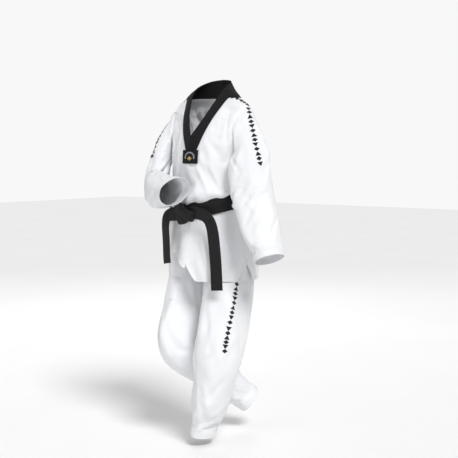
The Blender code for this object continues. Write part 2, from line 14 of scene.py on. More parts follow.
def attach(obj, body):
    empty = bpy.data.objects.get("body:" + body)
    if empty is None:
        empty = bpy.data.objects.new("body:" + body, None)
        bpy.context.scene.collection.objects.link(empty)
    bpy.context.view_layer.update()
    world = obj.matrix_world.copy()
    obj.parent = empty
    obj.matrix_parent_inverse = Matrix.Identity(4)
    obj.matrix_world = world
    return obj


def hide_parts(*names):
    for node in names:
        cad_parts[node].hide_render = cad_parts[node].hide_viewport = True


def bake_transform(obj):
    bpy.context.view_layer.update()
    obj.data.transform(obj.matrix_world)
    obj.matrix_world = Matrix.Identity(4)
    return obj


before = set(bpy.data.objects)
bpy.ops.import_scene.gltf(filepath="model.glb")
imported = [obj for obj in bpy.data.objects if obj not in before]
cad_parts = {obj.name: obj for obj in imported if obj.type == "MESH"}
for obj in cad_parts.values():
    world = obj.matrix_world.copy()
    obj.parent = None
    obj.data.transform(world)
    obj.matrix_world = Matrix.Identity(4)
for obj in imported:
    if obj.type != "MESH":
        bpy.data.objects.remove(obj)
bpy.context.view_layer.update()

# ---------------------------------------------------------------- the frame's dimensions
BELT_WIDTH = 0.044
BELT_SHIFT = 0.0075         # the belt's two turns lie this far above and below its middle
BELT_Z = -0.4085
BELT_SLOPE = (0.166, 0.196) # rise to the wearer's left and to the back, per metre
WAIST_HALF = (0.165, 0.115) # half width and half depth of the waist
V_BOTTOM_Z = -0.2125
V_BOTTOM_X = 0.022
NECK_TOP_Z = -0.0135
NECK_SIDE_X = 0.096
ARMHOLE_Z = -0.128
ARMHOLE_HALF = 0.078
ARMHOLE_SPREAD = 36.0
CROTCH_Z = -0.665
HEM_Z = -0.677
PULLED_UP = (0.044, 0.094)
SLIT_TURN = 84.0
SLIT_TOP_Z = -0.618
FRONT_SLIT_OPEN = 15.0
SIDE_SLIT_OPEN = 17.0
BACK_SLIT_OPEN = 9.0
SLIT_EDGE = 0.4
WAISTBAND_TOP = -0.394
WAISTBAND_BOTTOM = -0.434
HIP_END = 0.075
SEAT_OUT = -0.0085
TAB_TURN = 12.0             # half width of the label tab, in degrees round the chest
WAISTBAND_OUT = -0.0075
LABEL_Z = (-0.2560, -0.2060)
ARCH_Z = -0.2320            # centre heights of the label's arch and lozenge
PETALS_Z = -0.2370
FLOOR_Z = -1.3000
FOLD_SIZE = 1.7             # scales every crease drawn as a stroke
CAMERA_PLACE = (2.445, -3.033, -0.198)
CAMERA_TURN = 38.0          # degrees round from the wearer's front, towards their left
CAMERA_TILT = 4.485         # degrees down
CAMERA_LENS = 81.4          # millimetres
BACKDROP = 0.94             # brightness of the white surroundings behind the uniform
AMBIENT = 0.42              # share of the white surroundings that reaches the cloth

# Cloth as it is cut and sewn
CLOTH = 0.0012              # one layer
SLEEVE_HEM = 0.030
LEG_HEM = 0.036
SKIRT_HEM = 0.011
SKIRT_ROUND = 0.165         # metres round the skirt for each radian of turn
JACKET_LOW = -0.412         # the jacket's lowest row, before it is bent to follow the belt
YOKE_Z = -0.100             # closer rows from here up to the shoulders
BAND_OUT = 0.0035           # the neckband's outer edge stands this far off the jacket
LABEL_ROUND = 0.127         # metres round the chest for each radian of turn, at the label
FACING_HALF = 1.7           # half width of a slit's facing, in degrees
SLEEVE_START = 0.090        # distance down the arm where the sleeve stops leaving the armhole
ELBOW_SPLIT = 0.060         # the sleeve is split this far above the elbow
KNEE_SPLIT = 0.100          # and the leg this far above the knee

# Jacket outline by height: z, sideways shift, half width, depth to the front, depth to the back
TORSO = np.array([
    (-0.700, -0.004, 0.192, 0.176, 0.140),
    (-0.620, -0.005, 0.187, 0.164, 0.134),
    (-0.540, -0.010, 0.177, 0.148, 0.120),
    (-0.430, -0.014, 0.163, 0.131, 0.102),
    (-0.320, -0.004, 0.158, 0.130, 0.104),
    (-0.200, 0.000, 0.168, 0.127, 0.108),
    (-0.130, 0.000, 0.172, 0.112, 0.102),
    (-0.080, 0.000, 0.172, 0.088, 0.090),
    (-0.045, 0.000, 0.163, 0.064, 0.074),
    (-0.010, 0.000, 0.118, 0.046, 0.060),
    (0.080, 0.000, 0.100, 0.046, 0.060),
])

# Sleeve and leg centre lines: point, half width sideways and across
LEFT_ELBOW = Vector((0.236, -0.068, -0.345))
LEFT_ARM = [
    (Vector((0.207, -0.052, -0.160)), 0.073, 0.045),
    (Vector((0.216, -0.063, -0.225)), 0.075, 0.047),
    (LEFT_ELBOW, 0.076, 0.052),
    (Vector((0.282, -0.090, -0.455)), 0.069, 0.056),
    (Vector((0.340, -0.110, -0.588)), 0.053, 0.060),
]
LEFT_ARM_SIDE = Vector((0.79, 0.61, 0.0))
RIGHT_ELBOW = Vector((-0.197, -0.112, -0.332))
RIGHT_ARM = [
    (Vector((-0.199, -0.030, -0.160)), 0.042, 0.066),
    (Vector((-0.211, -0.060, -0.225)), 0.042, 0.072),
    (RIGHT_ELBOW, 0.046, 0.070),
    (Vector((-0.105, -0.174, -0.350)), 0.058, 0.066),
    (Vector((-0.012, -0.208, -0.356)), 0.060, 0.060),
]
RIGHT_ARM_SIDE = Vector((-0.79, -0.61, 0.0))
RIGHT_MOUTH = Vector((0.78, -0.30, -0.50))
LEFT_KNEE = Vector((0.104, -0.100, -0.935))
LEFT_LEG = [
    (Vector((0.088, -0.014, -0.667)), 0.081, 0.110),
    (Vector((0.102, -0.052, -0.790)), 0.091, 0.106),
    (LEFT_KNEE, 0.084, 0.098),
    (Vector((0.076, -0.106, -1.090)), 0.069, 0.083),
    (Vector((0.034, -0.106, -1.262)), 0.039, 0.056),
]
RIGHT_KNEE = Vector((-0.083, -0.098, -0.925))
RIGHT_LEG = [
    (Vector((-0.090, -0.012, -0.667)), 0.081, 0.108),
    (Vector((-0.092, -0.048, -0.790)), 0.080, 0.100),
    (RIGHT_KNEE, 0.076, 0.088),
    (Vector((-0.028, 0.056, -1.064)), 0.062, 0.074),
    (Vector((0.032, 0.186, -1.186)), 0.042, 0.055),
]

# Neckband's inner edge, and the belt's knot and tails
NECK_EDGE = [
    Vector((0.0, -0.133, -0.156)),
    Vector((0.030, -0.104, -0.098)),
    Vector((0.054, -0.066, -0.036)),
    Vector((0.067, -0.020, 0.020)),
    Vector((0.052, 0.044, 0.050)),
    Vector((0.0, 0.062, 0.058)),
]
KNOT_CENTRE = Vector((-0.006, -0.1600, -0.434))
LEFT_TAIL_ROUTE = [
    Vector((0.020, -0.163, -0.431)),
    Vector((0.060, -0.166, -0.434)),
    Vector((0.094, -0.164, -0.443)),
    Vector((0.114, -0.161, -0.464)),
    Vector((0.125, -0.159, -0.500)),
    Vector((0.132, -0.158, -0.560)),
    Vector((0.141, -0.159, -0.640)),
    Vector((0.146, -0.160, -0.708)),
]
RIGHT_TAIL_ROUTE = [
    Vector((-0.030, -0.161, -0.436)),
    Vector((-0.056, -0.168, -0.438)),
    Vector((-0.077, -0.174, -0.450)),
    Vector((-0.084, -0.177, -0.478)),
    Vector((-0.083, -0.179, -0.520)),
    Vector((-0.076, -0.182, -0.570)),
    Vector((-0.067, -0.184, -0.622)),
]
FORWARD = np.array([0.0, -1.0, 0.0])


# ---------------------------------------------------------------- small maths
def mix(a, b, t):
    return a + (b - a) * t


def smooth(t):
    t = np.clip(t, 0.0, 1.0)
    return t * t * (3.0 - 2.0 * t)


def bump_at(x, centre, width):
    """A smooth hump of height one."""
    return np.exp(-((x - centre) / width) ** 2)


def hermite_rows(table, z):
    """Smooth values of a table's columns at heights z, through all of its rows."""
    x = table[:, 0]
    y = table[:, 1:]
    slope = np.gradient(y, x, axis=0)
    z = np.clip(z, x[0], x[-1])
    part = np.clip(np.searchsorted(x, z) - 1, 0, len(x) - 2)
    step = (x[part + 1] - x[part])[..., None]
    t = ((z - x[part])[..., None]) / step
    h = t * t * (3.0 - 2.0 * t)
    return (y[part] * (1.0 - h) + y[part + 1] * h + slope[part] * step * t * (1.0 - t) ** 2
            - slope[part + 1] * step * t * t * (1.0 - t))


def torso_points(turn, z, out=0.0):
    """Points on the jacket at turns (degrees from centre front to the wearer's left) and heights."""
    turn, z, out = np.broadcast_arrays(np.asarray(turn, float), np.asarray(z, float), out)
    shift, half, front, back = np.moveaxis(hermite_rows(TORSO, z), -1, 0)
    angle = np.radians(turn)
    depth = np.where(np.cos(angle) > 0.0, front, back)
    x = shift + (half + out) * np.sin(angle)
    return np.stack([x, -(depth + out) * np.cos(angle), z], axis=-1)


def belt_z(turn):
    """Height of the belt's middle, which rises to the back and to the wearer's left."""
    angle = np.radians(turn)
    return (BELT_Z + BELT_SLOPE[0] * WAIST_HALF[0] * np.sin(angle)
            - BELT_SLOPE[1] * WAIST_HALF[1] * np.cos(angle))


def hem_z(turn):
    """Height of the skirt's hem, which is raised on the right front panel."""
    raised = PULLED_UP[0] + (PULLED_UP[1] - PULLED_UP[0]) * smooth(-turn / 24.0)
    return HEM_Z + np.where(np.asarray(turn) >= 0.0, 0.0, raised)


def neck_turn(z):
    """Turn of the neckband's outer edge on the front at height z."""
    rise = np.clip((z - V_BOTTOM_Z) / (NECK_TOP_Z - V_BOTTOM_Z), 0.0, 1.0)
    x = mix(V_BOTTOM_X, NECK_SIDE_X, rise ** 0.95)
    values = hermite_rows(TORSO, np.asarray(z, float))
    found = np.degrees(np.arcsin(np.clip((x - values[..., 0]) / values[..., 1], -0.999, 0.999)))
    return np.where(rise <= 0.0, 0.0, found)


def run_along(points):
    """Distance along a row of points, from its first."""
    return np.concatenate([[0.0], np.cumsum(np.linalg.norm(np.diff(points, axis=0), axis=1))])


def even_steps(points, count):
    """The same row of points, taken again at equal steps."""
    run = run_along(points)
    even = np.linspace(0.0, run[-1], count)
    return np.stack([np.interp(even, run, points[:, k]) for k in range(3)], axis=1)


def curve_points(points, count):
    """Even steps along a smooth curve through given points, as an array."""
    made = []
    for i in range(count):
        place = i / (count - 1) * (len(points) - 1)
        part = min(int(place), len(points) - 2)
        t = place - part
        p0 = points[max(part - 1, 0)]
        p1 = points[part]
        p2 = points[part + 1]
        p3 = points[min(part + 2, len(points) - 1)]
        made.append(0.5 * (2 * p1 + (p2 - p0) * t + (2 * p0 - 5 * p1 + 4 * p2 - p3) * t * t
                           + (3 * p1 - p0 - 3 * p2 + p3) * t ** 3))
    return even_steps(np.array([tuple(p) for p in made]), count)


def unit(v):
    return v / np.maximum(np.linalg.norm(v, axis=-1, keepdims=True), 1e-9)


# ---------------------------------------------------------------- limbs
def along(limb, distance):
    """Centre, tangent and half widths at a distance down a limb's smooth centre line."""
    spans = [(b[0] - a[0]).length for a, b in zip(limb, limb[1:])]
    distance = min(max(distance, 0.0), sum(spans) - 1e-6)
    part = 0
    while distance > spans[part]:
        distance -= spans[part]
        part += 1
    t = distance / spans[part]
    before = limb[max(part - 1, 0)]
    a = limb[part]
    b = limb[part + 1]
    after = limb[min(part + 2, len(limb) - 1)]
    leave = (b[0] - before[0]) * 0.5
    arrive = (after[0] - a[0]) * 0.5
    centre = (a[0] * (2 * t ** 3 - 3 * t ** 2 + 1) + leave * (t ** 3 - 2 * t ** 2 + t)
              + b[0] * (3 * t ** 2 - 2 * t ** 3) + arrive * (t ** 3 - t ** 2))
    slope = ((a[0] - b[0]) * (6 * t ** 2 - 6 * t) + leave * (3 * t ** 2 - 4 * t + 1)
             + arrive * (3 * t ** 2 - 2 * t))
    s = float(smooth(t))
    return centre, slope.normalized(), mix(a[1], b[1], s), mix(a[2], b[2], s)


def distance_to(limb, number):
    """Distance down a limb's straight spans to one of its points."""
    return sum((b[0] - a[0]).length for a, b in zip(limb[:number], limb[1:number + 1]))


def limb_length(limb):
    return distance_to(limb, len(limb) - 1)


def hem_rows(start, end, hem, count):
    """Distances down a limb for its rows, closer at the hem's stitching."""
    extra = [hem - 0.0012, hem, hem + 0.0012, end - 0.0022]
    return sorted(list(np.linspace(start, end, count)) + extra)


def split_tags(places, split):
    """Tag 0 for the rows above a place down the limb, and 1 for those below."""
    cut = int(np.argmin(np.abs(np.array(places) - split)))
    return np.where(np.arange(len(places) - 1) < cut, 0, 1)[:, None]


def ring_at(limb, distance, side, angles, mouth=None):
    """A ring round the limb at the given angles; side is where angle 0 points."""
    centre, tangent, r1, r2 = along(limb, distance)
    if mouth:
        turned = float(smooth(distance / limb_length(limb) * 2.6 - 1.6))
        tangent = tangent.lerp(mouth.normalized(), turned).normalized()
    first = (side - tangent * side.dot(tangent)).normalized()
    second = tangent.cross(first)
    return (np.array(centre) + np.outer(np.cos(angles) * r1, first)
            + np.outer(np.sin(angles) * r2, second))


def armhole_ring(hand, angles, out):
    """Ring on the jacket round an armhole, from its top to the front."""
    z = ARMHOLE_Z + ARMHOLE_HALF * np.cos(angles)
    open_by = ARMHOLE_SPREAD * np.abs(np.sin(angles))
    back = np.sin(angles) * hand < 0.0
    return torso_points(hand * np.where(back, 90.0 + open_by, 90.0 - open_by), z, out)


# ---------------------------------------------------------------- folds
def wrap(degrees_off):
    """An angle brought to between -180 and 180 degrees."""
    return (degrees_off + 180.0) % 360.0 - 180.0


def strokes(angle, place, radius, folds):
    """Height of creases drawn from (angle, place) to (angle, place), each with a width and a depth."""
    height = np.zeros(np.broadcast(angle, place).shape)
    for a0, d0, a1, d1, width, depth in folds:
        x = np.radians(wrap(angle - a0)) * radius
        y = place - d0
        run = (radians(float(wrap(a1 - a0))) * radius, d1 - d0)
        t = np.clip((x * run[0] + y * run[1]) / (run[0] ** 2 + run[1] ** 2), 0.0, 1.0)
        off = ((x - t * run[0]) ** 2 + (y - t * run[1]) ** 2) / width ** 2
        taper = 0.55 + 0.45 * np.sin(pi * np.clip(t, 0.02, 0.98))
        height += FOLD_SIZE * depth * taper * (np.exp(-off) - 0.42 * np.exp(-off / 3.4))
    return height


def scattered(seed, count, places, slant, length, width, depth):
    """Hand-sized creases scattered round a limb between two places, all leaning about one way."""
    rng = np.random.default_rng(seed)
    made = []
    for _ in range(count):
        a = rng.uniform(0.0, 360.0)
        d = rng.uniform(*places)
        lean = slant * rng.uniform(0.5, 1.4) * (1 if rng.random() < 0.72 else -1)
        run = length * rng.uniform(0.6, 1.4)
        deep = depth * rng.uniform(0.5, 1.2) * (1 if rng.random() < 0.5 else -1)
        made.append((a, d, a + lean, d + run, width * rng.uniform(0.8, 1.5), deep))
    return made


def ripples(angle, place, seed, waves, long, size):
    """Soft lengthwise drape: waves round the limb that wander down its length."""
    rng = np.random.default_rng(seed)
    height = 0.0
    for n in waves:
        phase = rng.uniform(0.0, 2 * pi)
        wander = rng.uniform(-1.0, 1.0) * 2 * pi / long
        sway = rng.uniform(0.2, 0.6) * np.sin(place / long * 2 * pi * rng.uniform(0.7, 1.3) + phase * 1.7)
        height = height + size / sqrt(n) * np.sin(n * np.radians(angle) + place * wander + phase + sway)
    return height


# ---------------------------------------------------------------- surfaces
class Surface:
    """Grids of cloth points welded into one sheet of quads, with a flat layout for the weave.

    A quad's tag says which piece it is cut into; a point's extra is a value carried along with it.
    """

    def __init__(self):
        self.grids = []
        self.flats = []
        self.tags = []
        self.skips = []
        self.extras = []

    def add(self, grid, flat, tag, skip=None, extra=None):
        self.grids.append(grid)
        self.flats.append(flat)
        rows, columns = grid.shape[0] - 1, grid.shape[1] - 1
        self.tags.append(np.broadcast_to(tag, (rows, columns)))
        self.skips.append(np.zeros((rows, columns), bool) if skip is None else skip)
        self.extras.append(np.zeros(grid.shape[:2]) if extra is None else extra)
        return self

    def weld(self):
        points = np.concatenate([g.reshape(-1, 3) for g in self.grids])
        extra = np.concatenate([e.reshape(-1) for e in self.extras])
        keys = np.round(points / 2e-5).astype(np.int64)
        _, first, index = np.unique(keys, axis=0, return_index=True, return_inverse=True)
        index = index.reshape(-1)
        self.points = points[first]
        self.extra = extra[first]
        quads, flats, tags = [], [], []
        start = 0
        for grid, flat, tag, skip in zip(self.grids, self.flats, self.tags, self.skips):
            rows, columns = grid.shape[:2]
            number = start + np.arange(rows * columns).reshape(rows, columns)
            corners = np.stack([number[:-1, :-1], number[1:, :-1], number[1:, 1:], number[:-1, 1:]], -1)
            layout = np.stack([flat[:-1, :-1], flat[1:, :-1], flat[1:, 1:], flat[:-1, 1:]], -2)
            keep = ~skip
            quads.append(corners[keep])
            flats.append(layout[keep])
            tags.append(tag[keep])
            start += rows * columns
        self.quads = index[np.concatenate(quads)]
        self.flat = np.concatenate(flats)
        self.tag = np.concatenate(tags)
        whole = np.array([len(set(q)) == 4 for q in self.quads.tolist()])
        self.quads, self.flat, self.tag = self.quads[whole], self.flat[whole], self.tag[whole]
        return self

    def normals(self):
        p = self.points[self.quads]
        face = np.cross(p[:, 2] - p[:, 0], p[:, 3] - p[:, 1])
        total = np.zeros_like(self.points)
        for k in range(4):
            np.add.at(total, self.quads[:, k], face)
        return unit(total)

    def push(self, height):
        self.points = self.points + self.normals() * height[:, None]
        return self

    def relax(self, moved, turns):
        """Evens out a field of moves over neighbouring points."""
        edges = np.concatenate([self.quads[:, [k, (k + 1) % 4]] for k in range(4)])
        count = np.zeros(len(self.points))
        np.add.at(count, edges[:, 0], 1.0)
        np.add.at(count, edges[:, 1], 1.0)
        for _ in range(turns):
            total = np.zeros_like(moved)
            np.add.at(total, edges[:, 0], moved[edges[:, 1]])
            np.add.at(total, edges[:, 1], moved[edges[:, 0]])
            moved = moved * 0.4 + 0.6 * total / np.maximum(count, 1.0)[:, None]
        return moved

    def even_out(self, share, turns):
        """Smooths the surface itself where share is above zero."""
        for _ in range(turns):
            self.points = mix(self.points, self.relax(self.points, 1), share[:, None])
        return self

    def settle(self, held, slack, frames=12, cap=0.009, gravity=0.25, stiff=0.6, even=2):
        """Lets slightly oversize cloth buckle and sag for a moment; held runs from 0 to 1."""
        mesh = bpy.data.meshes.new("settling")
        mesh.from_pydata(self.points.tolist(), [], self.quads.tolist())
        thing = bpy.data.objects.new("settling", mesh)
        link(thing)
        group = thing.vertex_groups.new(name="held")
        for level in np.unique(np.round(held, 2)):
            chosen = np.nonzero(np.round(held, 2) == level)[0].tolist()
            group.add(chosen, float(level), "REPLACE")
        cloth = thing.modifiers.new("Cloth", "CLOTH").settings
        cloth.quality = 5
        cloth.mass = 0.25
        cloth.tension_stiffness = 18.0
        cloth.compression_stiffness = 18.0
        cloth.shear_stiffness = 6.0
        cloth.bending_stiffness = stiff
        cloth.air_damping = 2.0
        cloth.shrink_min = -slack
        cloth.vertex_group_mass = "held"
        cloth.pin_stiffness = 0.6
        cloth.effector_weights.gravity = gravity
        scene = bpy.context.scene
        for number in range(1, frames + 1):
            scene.frame_set(number)
        made = thing.evaluated_get(bpy.context.evaluated_depsgraph_get()).to_mesh()
        after = np.empty(len(made.vertices) * 3)
        made.vertices.foreach_get("co", after)
        bpy.data.objects.remove(thing, do_unlink=True)
        scene.frame_set(1)
        moved = self.relax(after.reshape(-1, 3) - self.points, even)
        length = np.linalg.norm(moved, axis=1, keepdims=True)
        moved *= np.minimum(1.0, cap / np.maximum(length, 1e-9))
        moved *= (1.0 - held)[:, None] ** 0.5
        self.points = self.points + moved
        return self

    def tree(self):
        return BVHTree.FromPolygons([Vector(p) for p in self.points], self.quads.tolist())

    def area(self, tags=None):
        use = np.ones(len(self.quads), bool) if tags is None else np.isin(self.tag, tags)
        p = self.points[self.quads[use]]
        return float(0.5 * np.linalg.norm(np.cross(p[:, 2] - p[:, 0], p[:, 3] - p[:, 1]), axis=1).sum())

    def shell(self, name, material, thick=CLOTH, tags=None, out=0.0, flip=False):
        """One closed body of cloth made from the quads with these tags."""
        use = np.ones(len(self.quads), bool) if tags is None else np.isin(self.tag, tags)
        quads, flat = self.quads[use], self.flat[use]
        normals = self.normals() * (-1.0 if flip else 1.0)
        if flip:
            quads, flat = quads[:, ::-1], flat[:, ::-1]
        used, inverse = np.unique(quads, return_inverse=True)
        quads = inverse.reshape(quads.shape)
        top = self.points[used] + normals[used] * out
        normal = normals[used]
        count = len(used)
        verts = np.concatenate([top, top - normal * thick])
        edges = np.concatenate([quads[:, [k, (k + 1) % 4]] for k in range(4)])
        layout = np.concatenate([flat[:, [k, (k + 1) % 4]] for k in range(4)])
        keys = np.sort(edges, axis=1)
        keys = keys[:, 0] * count + keys[:, 1]
        _, back, times = np.unique(keys, return_inverse=True, return_counts=True)
        free = times[back.reshape(-1)] == 1
        rim, rim_flat = edges[free], layout[free]
        rims = np.stack([rim[:, 1], rim[:, 0], rim[:, 0] + count, rim[:, 1] + count], -1)
        rims_flat = np.stack([rim_flat[:, 1], rim_flat[:, 0], rim_flat[:, 0], rim_flat[:, 1]], -2)
        faces = np.concatenate([quads, quads[:, ::-1] + count, rims])
        flats = np.concatenate([flat, flat[:, ::-1], rims_flat])
        p = verts[rims]
        side = unit(np.cross(p[:, 1] - p[:, 0], p[:, 3] - p[:, 0]))
        bends = np.concatenate([normal[quads], -normal[quads[:, ::-1]], np.repeat(side[:, None], 4, 1)])
        return mesh_object(name, verts, faces, flats, material, bends)


def link(made):
    bpy.context.scene.collection.objects.link(made)
    return made


def mesh_object(name, verts, faces, flats, material, bends=None):
    mesh = bpy.data.meshes.new(name)
    mesh.vertices.add(len(verts))
    mesh.vertices.foreach_set("co", np.asarray(verts, float).reshape(-1))
    mesh.loops.add(faces.size)
    mesh.loops.foreach_set("vertex_index", faces.reshape(-1).astype(np.int32))
    mesh.polygons.add(len(faces))
    mesh.polygons.foreach_set("loop_start", np.arange(0, faces.size, faces.shape[1], dtype=np.int32))
    mesh.update(calc_edges=True)
    layer = mesh.uv_layers.new(name="cloth")
    layer.data.foreach_set("uv", np.asarray(flats, float).reshape(-1))
    mesh.polygons.foreach_set("use_smooth", np.ones(len(faces), bool))
    mesh.materials.append(material)
    if bends is not None:
        mesh.normals_split_custom_set(unit(bends.reshape(-1, 3)).tolist())
    mesh.update()
    return link(bpy.data.objects.new(name, mesh))


def grid_layout(grid):
    """Flat layout of a grid: metres round it and metres down it, even along rows and columns."""
    across = np.linalg.norm(np.diff(grid, axis=1), axis=2).mean(axis=0)
    down = np.linalg.norm(np.diff(grid, axis=0), axis=2).mean(axis=1)
    u, v = (np.concatenate([[0.0], np.cumsum(steps)]) for steps in (across, down))
    return np.stack(np.meshgrid(u, v), axis=-1)


def grid_normals(grid, closed):
    """Outward normals of a grid whose columns run to the left of its rows."""
    if closed:
        wide = np.concatenate([grid[:, -2:-1], grid, grid[:, 1:2]], axis=1)
        across = wide[:, 2:] - wide[:, :-2]
    else:
        across = np.gradient(grid, axis=1)
    down = np.gradient(grid, axis=0)
    return unit(np.cross(down, across))


def faced(grid, outward):
    """The grid, its columns turned round if its normals point against the outward direction."""
    if float((grid_normals(grid, closed=False) * outward).sum()) < 0.0:
        return grid[:, ::-1]
    return grid


def one_sheet(grid):
    return Surface().add(grid, grid_layout(grid), 0).weld()


def sewn_hem(surface, hem, width, dip, step):
    """Doubled cloth below a hem, with a line of stitching at its upper edge."""
    stitch = bump_at(surface.extra, hem, width) * dip
    return surface.push(smooth((surface.extra - hem) / 0.0015) * step - stitch)


def finish_piece(made, slot, replaces=(), ride=None, blend=None):
    """Hides the parts a piece replaces, and hangs it from the body it rides with, or else bakes its place
    into its mesh; the slot and blend it is given are not used.
    """
    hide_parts(*replaces)
    if ride:
        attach(made, ride)
    else:
        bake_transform(made)
    return made


def declare_cloth(surface, tags):
    """Works out a piece's flat width and length from its own layout, and its area, and keeps none of them.
    """
    use = np.isin(surface.tag, tags)
    flat = surface.flat[use].reshape(-1, 2)
    width, length = (round(float(x), 3) for x in flat.max(axis=0) - flat.min(axis=0))
    area = min(max(surface.area(tags), 0.31 * width * length), width * length)


def cloth_piece(name, surface, material, replaces, held, rests_on=(), tags=(0,), slot="white_cloth",
                thick=CLOTH, **motion):
    """One sewn piece of a surface, from the quads with these tags."""
    made = finish_piece(surface.shell(name, material, thick, tags), slot, replaces, **motion)
    declare_cloth(surface, tags)
    return made


# ---------------------------------------------------------------- materials
def new_material(name, roughness, sheen, sheen_tint=(1.0, 1.0, 1.0, 1.0)):
    made = bpy.data.materials.new(name)
    made.use_nodes = True
    shader = made.node_tree.nodes["Principled BSDF"]
    shader.inputs["Roughness"].default_value = roughness
    shader.inputs["Specular IOR Level"].default_value = 0.25
    shader.inputs["Sheen Weight"].default_value = sheen
    shader.inputs["Sheen Roughness"].default_value = 0.45
    shader.inputs["Sheen Tint"].default_value = sheen_tint
    return made, made.node_tree, shader


def math_node(tree, kind, a, b=None):
    node = tree.nodes.new("ShaderNodeMath")
    node.operation = kind
    for socket, value in zip(node.inputs, (a, b)):
        if isinstance(value, (int, float)):
            socket.default_value = value
        elif value is not None:
            tree.links.new(value, socket)
    return node.outputs[0]


def noise(tree, vector, scale, detail=3.0):
    node = tree.nodes.new("ShaderNodeTexNoise")
    node.inputs["Scale"].default_value = scale
    node.inputs["Detail"].default_value = detail
    tree.links.new(vector, node.inputs["Vector"])
    return node.outputs["Fac"]


def waves(tree, value, pitch):
    """A wave from 0 to 1 that repeats every pitch of the value."""
    angle = math_node(tree, "MULTIPLY", value, 2.0 * pi / pitch)
    return math_node(tree, "MULTIPLY_ADD", math_node(tree, "SINE", angle), 0.5)


def colour_ramp(tree, value, dark, light):
    ramp = tree.nodes.new("ShaderNodeValToRGB")
    ramp.color_ramp.elements[0].color = (*dark, 1.0)
    ramp.color_ramp.elements[1].color = (*light, 1.0)
    ramp.color_ramp.elements[0].position = 0.3
    ramp.color_ramp.elements[1].position = 0.7
    tree.links.new(value, ramp.inputs["Fac"])
    return ramp.outputs["Color"]


def bumps(tree, shader, layers):
    """Stacks bump layers, each a height and the distance in metres that it stands for."""
    normal = None
    for height, distance in layers:
        node = tree.nodes.new("ShaderNodeBump")
        node.inputs["Strength"].default_value = 1.0
        node.inputs["Distance"].default_value = distance
        tree.links.new(height, node.inputs["Height"])
        if normal is not None:
            tree.links.new(normal, node.inputs["Normal"])
        normal = node.outputs["Normal"]
    tree.links.new(normal, shader.inputs["Normal"])


def position_nodes(tree, kind):
    """Where the cloth is, and the separate parts of its flat layout (UV) or its place (Object)."""
    coordinates = tree.nodes.new("ShaderNodeTexCoord")
    parts = tree.nodes.new("ShaderNodeSeparateXYZ")
    tree.links.new(coordinates.outputs[kind], parts.inputs[0])
    return coordinates.outputs["Object"], parts.outputs


def weighted(tree, a, share_a, b, share_b):
    return math_node(tree, "ADD", math_node(tree, "MULTIPLY", a, share_a),
                     math_node(tree, "MULTIPLY", b, share_b))


def paint(tree, shader, value, dark, light):
    tree.links.new(colour_ramp(tree, value, dark, light), shader.inputs["Base Color"])


def white_cotton():
    """Ribbed white cotton: fine ribs crossed by a diamond weave, with soft crumples."""
    made, tree, shader = new_material("white_cotton", 0.82, 0.25)
    place, (u, v, _) = position_nodes(tree, "UV")
    one = waves(tree, math_node(tree, "ADD", u, v), 0.0042)
    other = waves(tree, math_node(tree, "SUBTRACT", u, v), 0.0042)
    diamonds = math_node(tree, "MULTIPLY", one, other)
    ribs = waves(tree, u, 0.0016)
    weave = math_node(tree, "ADD", diamonds, math_node(tree, "MULTIPLY", ribs, 0.35))
    crumple = noise(tree, place, 26.0, 4.0)
    soil = noise(tree, place, 7.0, 2.0)
    shade = weighted(tree, weave, 0.30, soil, 0.55)
    paint(tree, shader, shade, (0.80, 0.81, 0.835), (0.90, 0.90, 0.905))
    bumps(tree, shader, [(crumple, 0.0030), (weave, 0.00035)])
    return made


def black_cotton():
    """Black cotton with a fine cross weave and lighter worn threads."""
    made, tree, shader = new_material("black_cotton", 0.70, 0.04, (0.6, 0.6, 0.65, 1.0))
    place, (u, v, _) = position_nodes(tree, "UV")
    weave = math_node(tree, "MULTIPLY", waves(tree, u, 0.0012), waves(tree, v, 0.0012))
    cloud = noise(tree, place, 60.0, 3.0)
    shade = weighted(tree, weave, 0.5, cloud, 0.5)
    paint(tree, shader, shade, (0.0025, 0.0025, 0.003), (0.011, 0.011, 0.013))
    bumps(tree, shader, [(cloud, 0.0008), (weave, 0.0003)])
    return made


def belt_cotton():
    """Black belt: sateen with lengthwise rows of stitching."""
    made, tree, shader = new_material("belt_cotton", 0.46, 0.05, (0.6, 0.6, 0.7, 1.0))
    place, (u, v, _) = position_nodes(tree, "UV")
    stitches = math_node(tree, "MULTIPLY", waves(tree, u, BELT_WIDTH / 9.0), waves(tree, v, 0.0032))
    cloud = noise(tree, place, 45.0, 4.0)
    shade = weighted(tree, stitches, 0.55, cloud, 0.45)
    paint(tree, shader, shade, (0.0022, 0.0022, 0.0026), (0.012, 0.012, 0.014))
    bumps(tree, shader, [(cloud, 0.0007), (stitches, 0.0004)])
    return made


def thread(name, dark, light, metal=0.0):
    """Satin-stitched thread, its stitches lying side by side."""
    made, tree, shader = new_material(name, 0.45, 0.15)
    shader.inputs["Metallic"].default_value = metal
    place, (u, v, _) = position_nodes(tree, "UV")
    rows = waves(tree, math_node(tree, "ADD", u, math_node(tree, "MULTIPLY", v, 0.4)), 0.0009)
    cloud = noise(tree, place, 240.0, 2.0)
    shade = weighted(tree, rows, 0.6, cloud, 0.4)
    paint(tree, shader, shade, dark, light)
    bumps(tree, shader, [(rows, 0.0003)])
    return made


def ribbed_elastic():
    """Woven elastic: ribs round the waist and its warm white rubber threads."""
    made, tree, shader = new_material("ribbed_elastic", 0.70, 0.10)
    place, (_, _, height) = position_nodes(tree, "Object")
    ribs = waves(tree, height, 0.0034)
    cloud = noise(tree, place, 300.0, 3.0)
    shade = weighted(tree, ribs, 0.6, cloud, 0.4)
    paint(tree, shader, shade, (0.62, 0.61, 0.58), (0.80, 0.79, 0.77))
    bumps(tree, shader, [(ribs, 0.0006)])
    return made


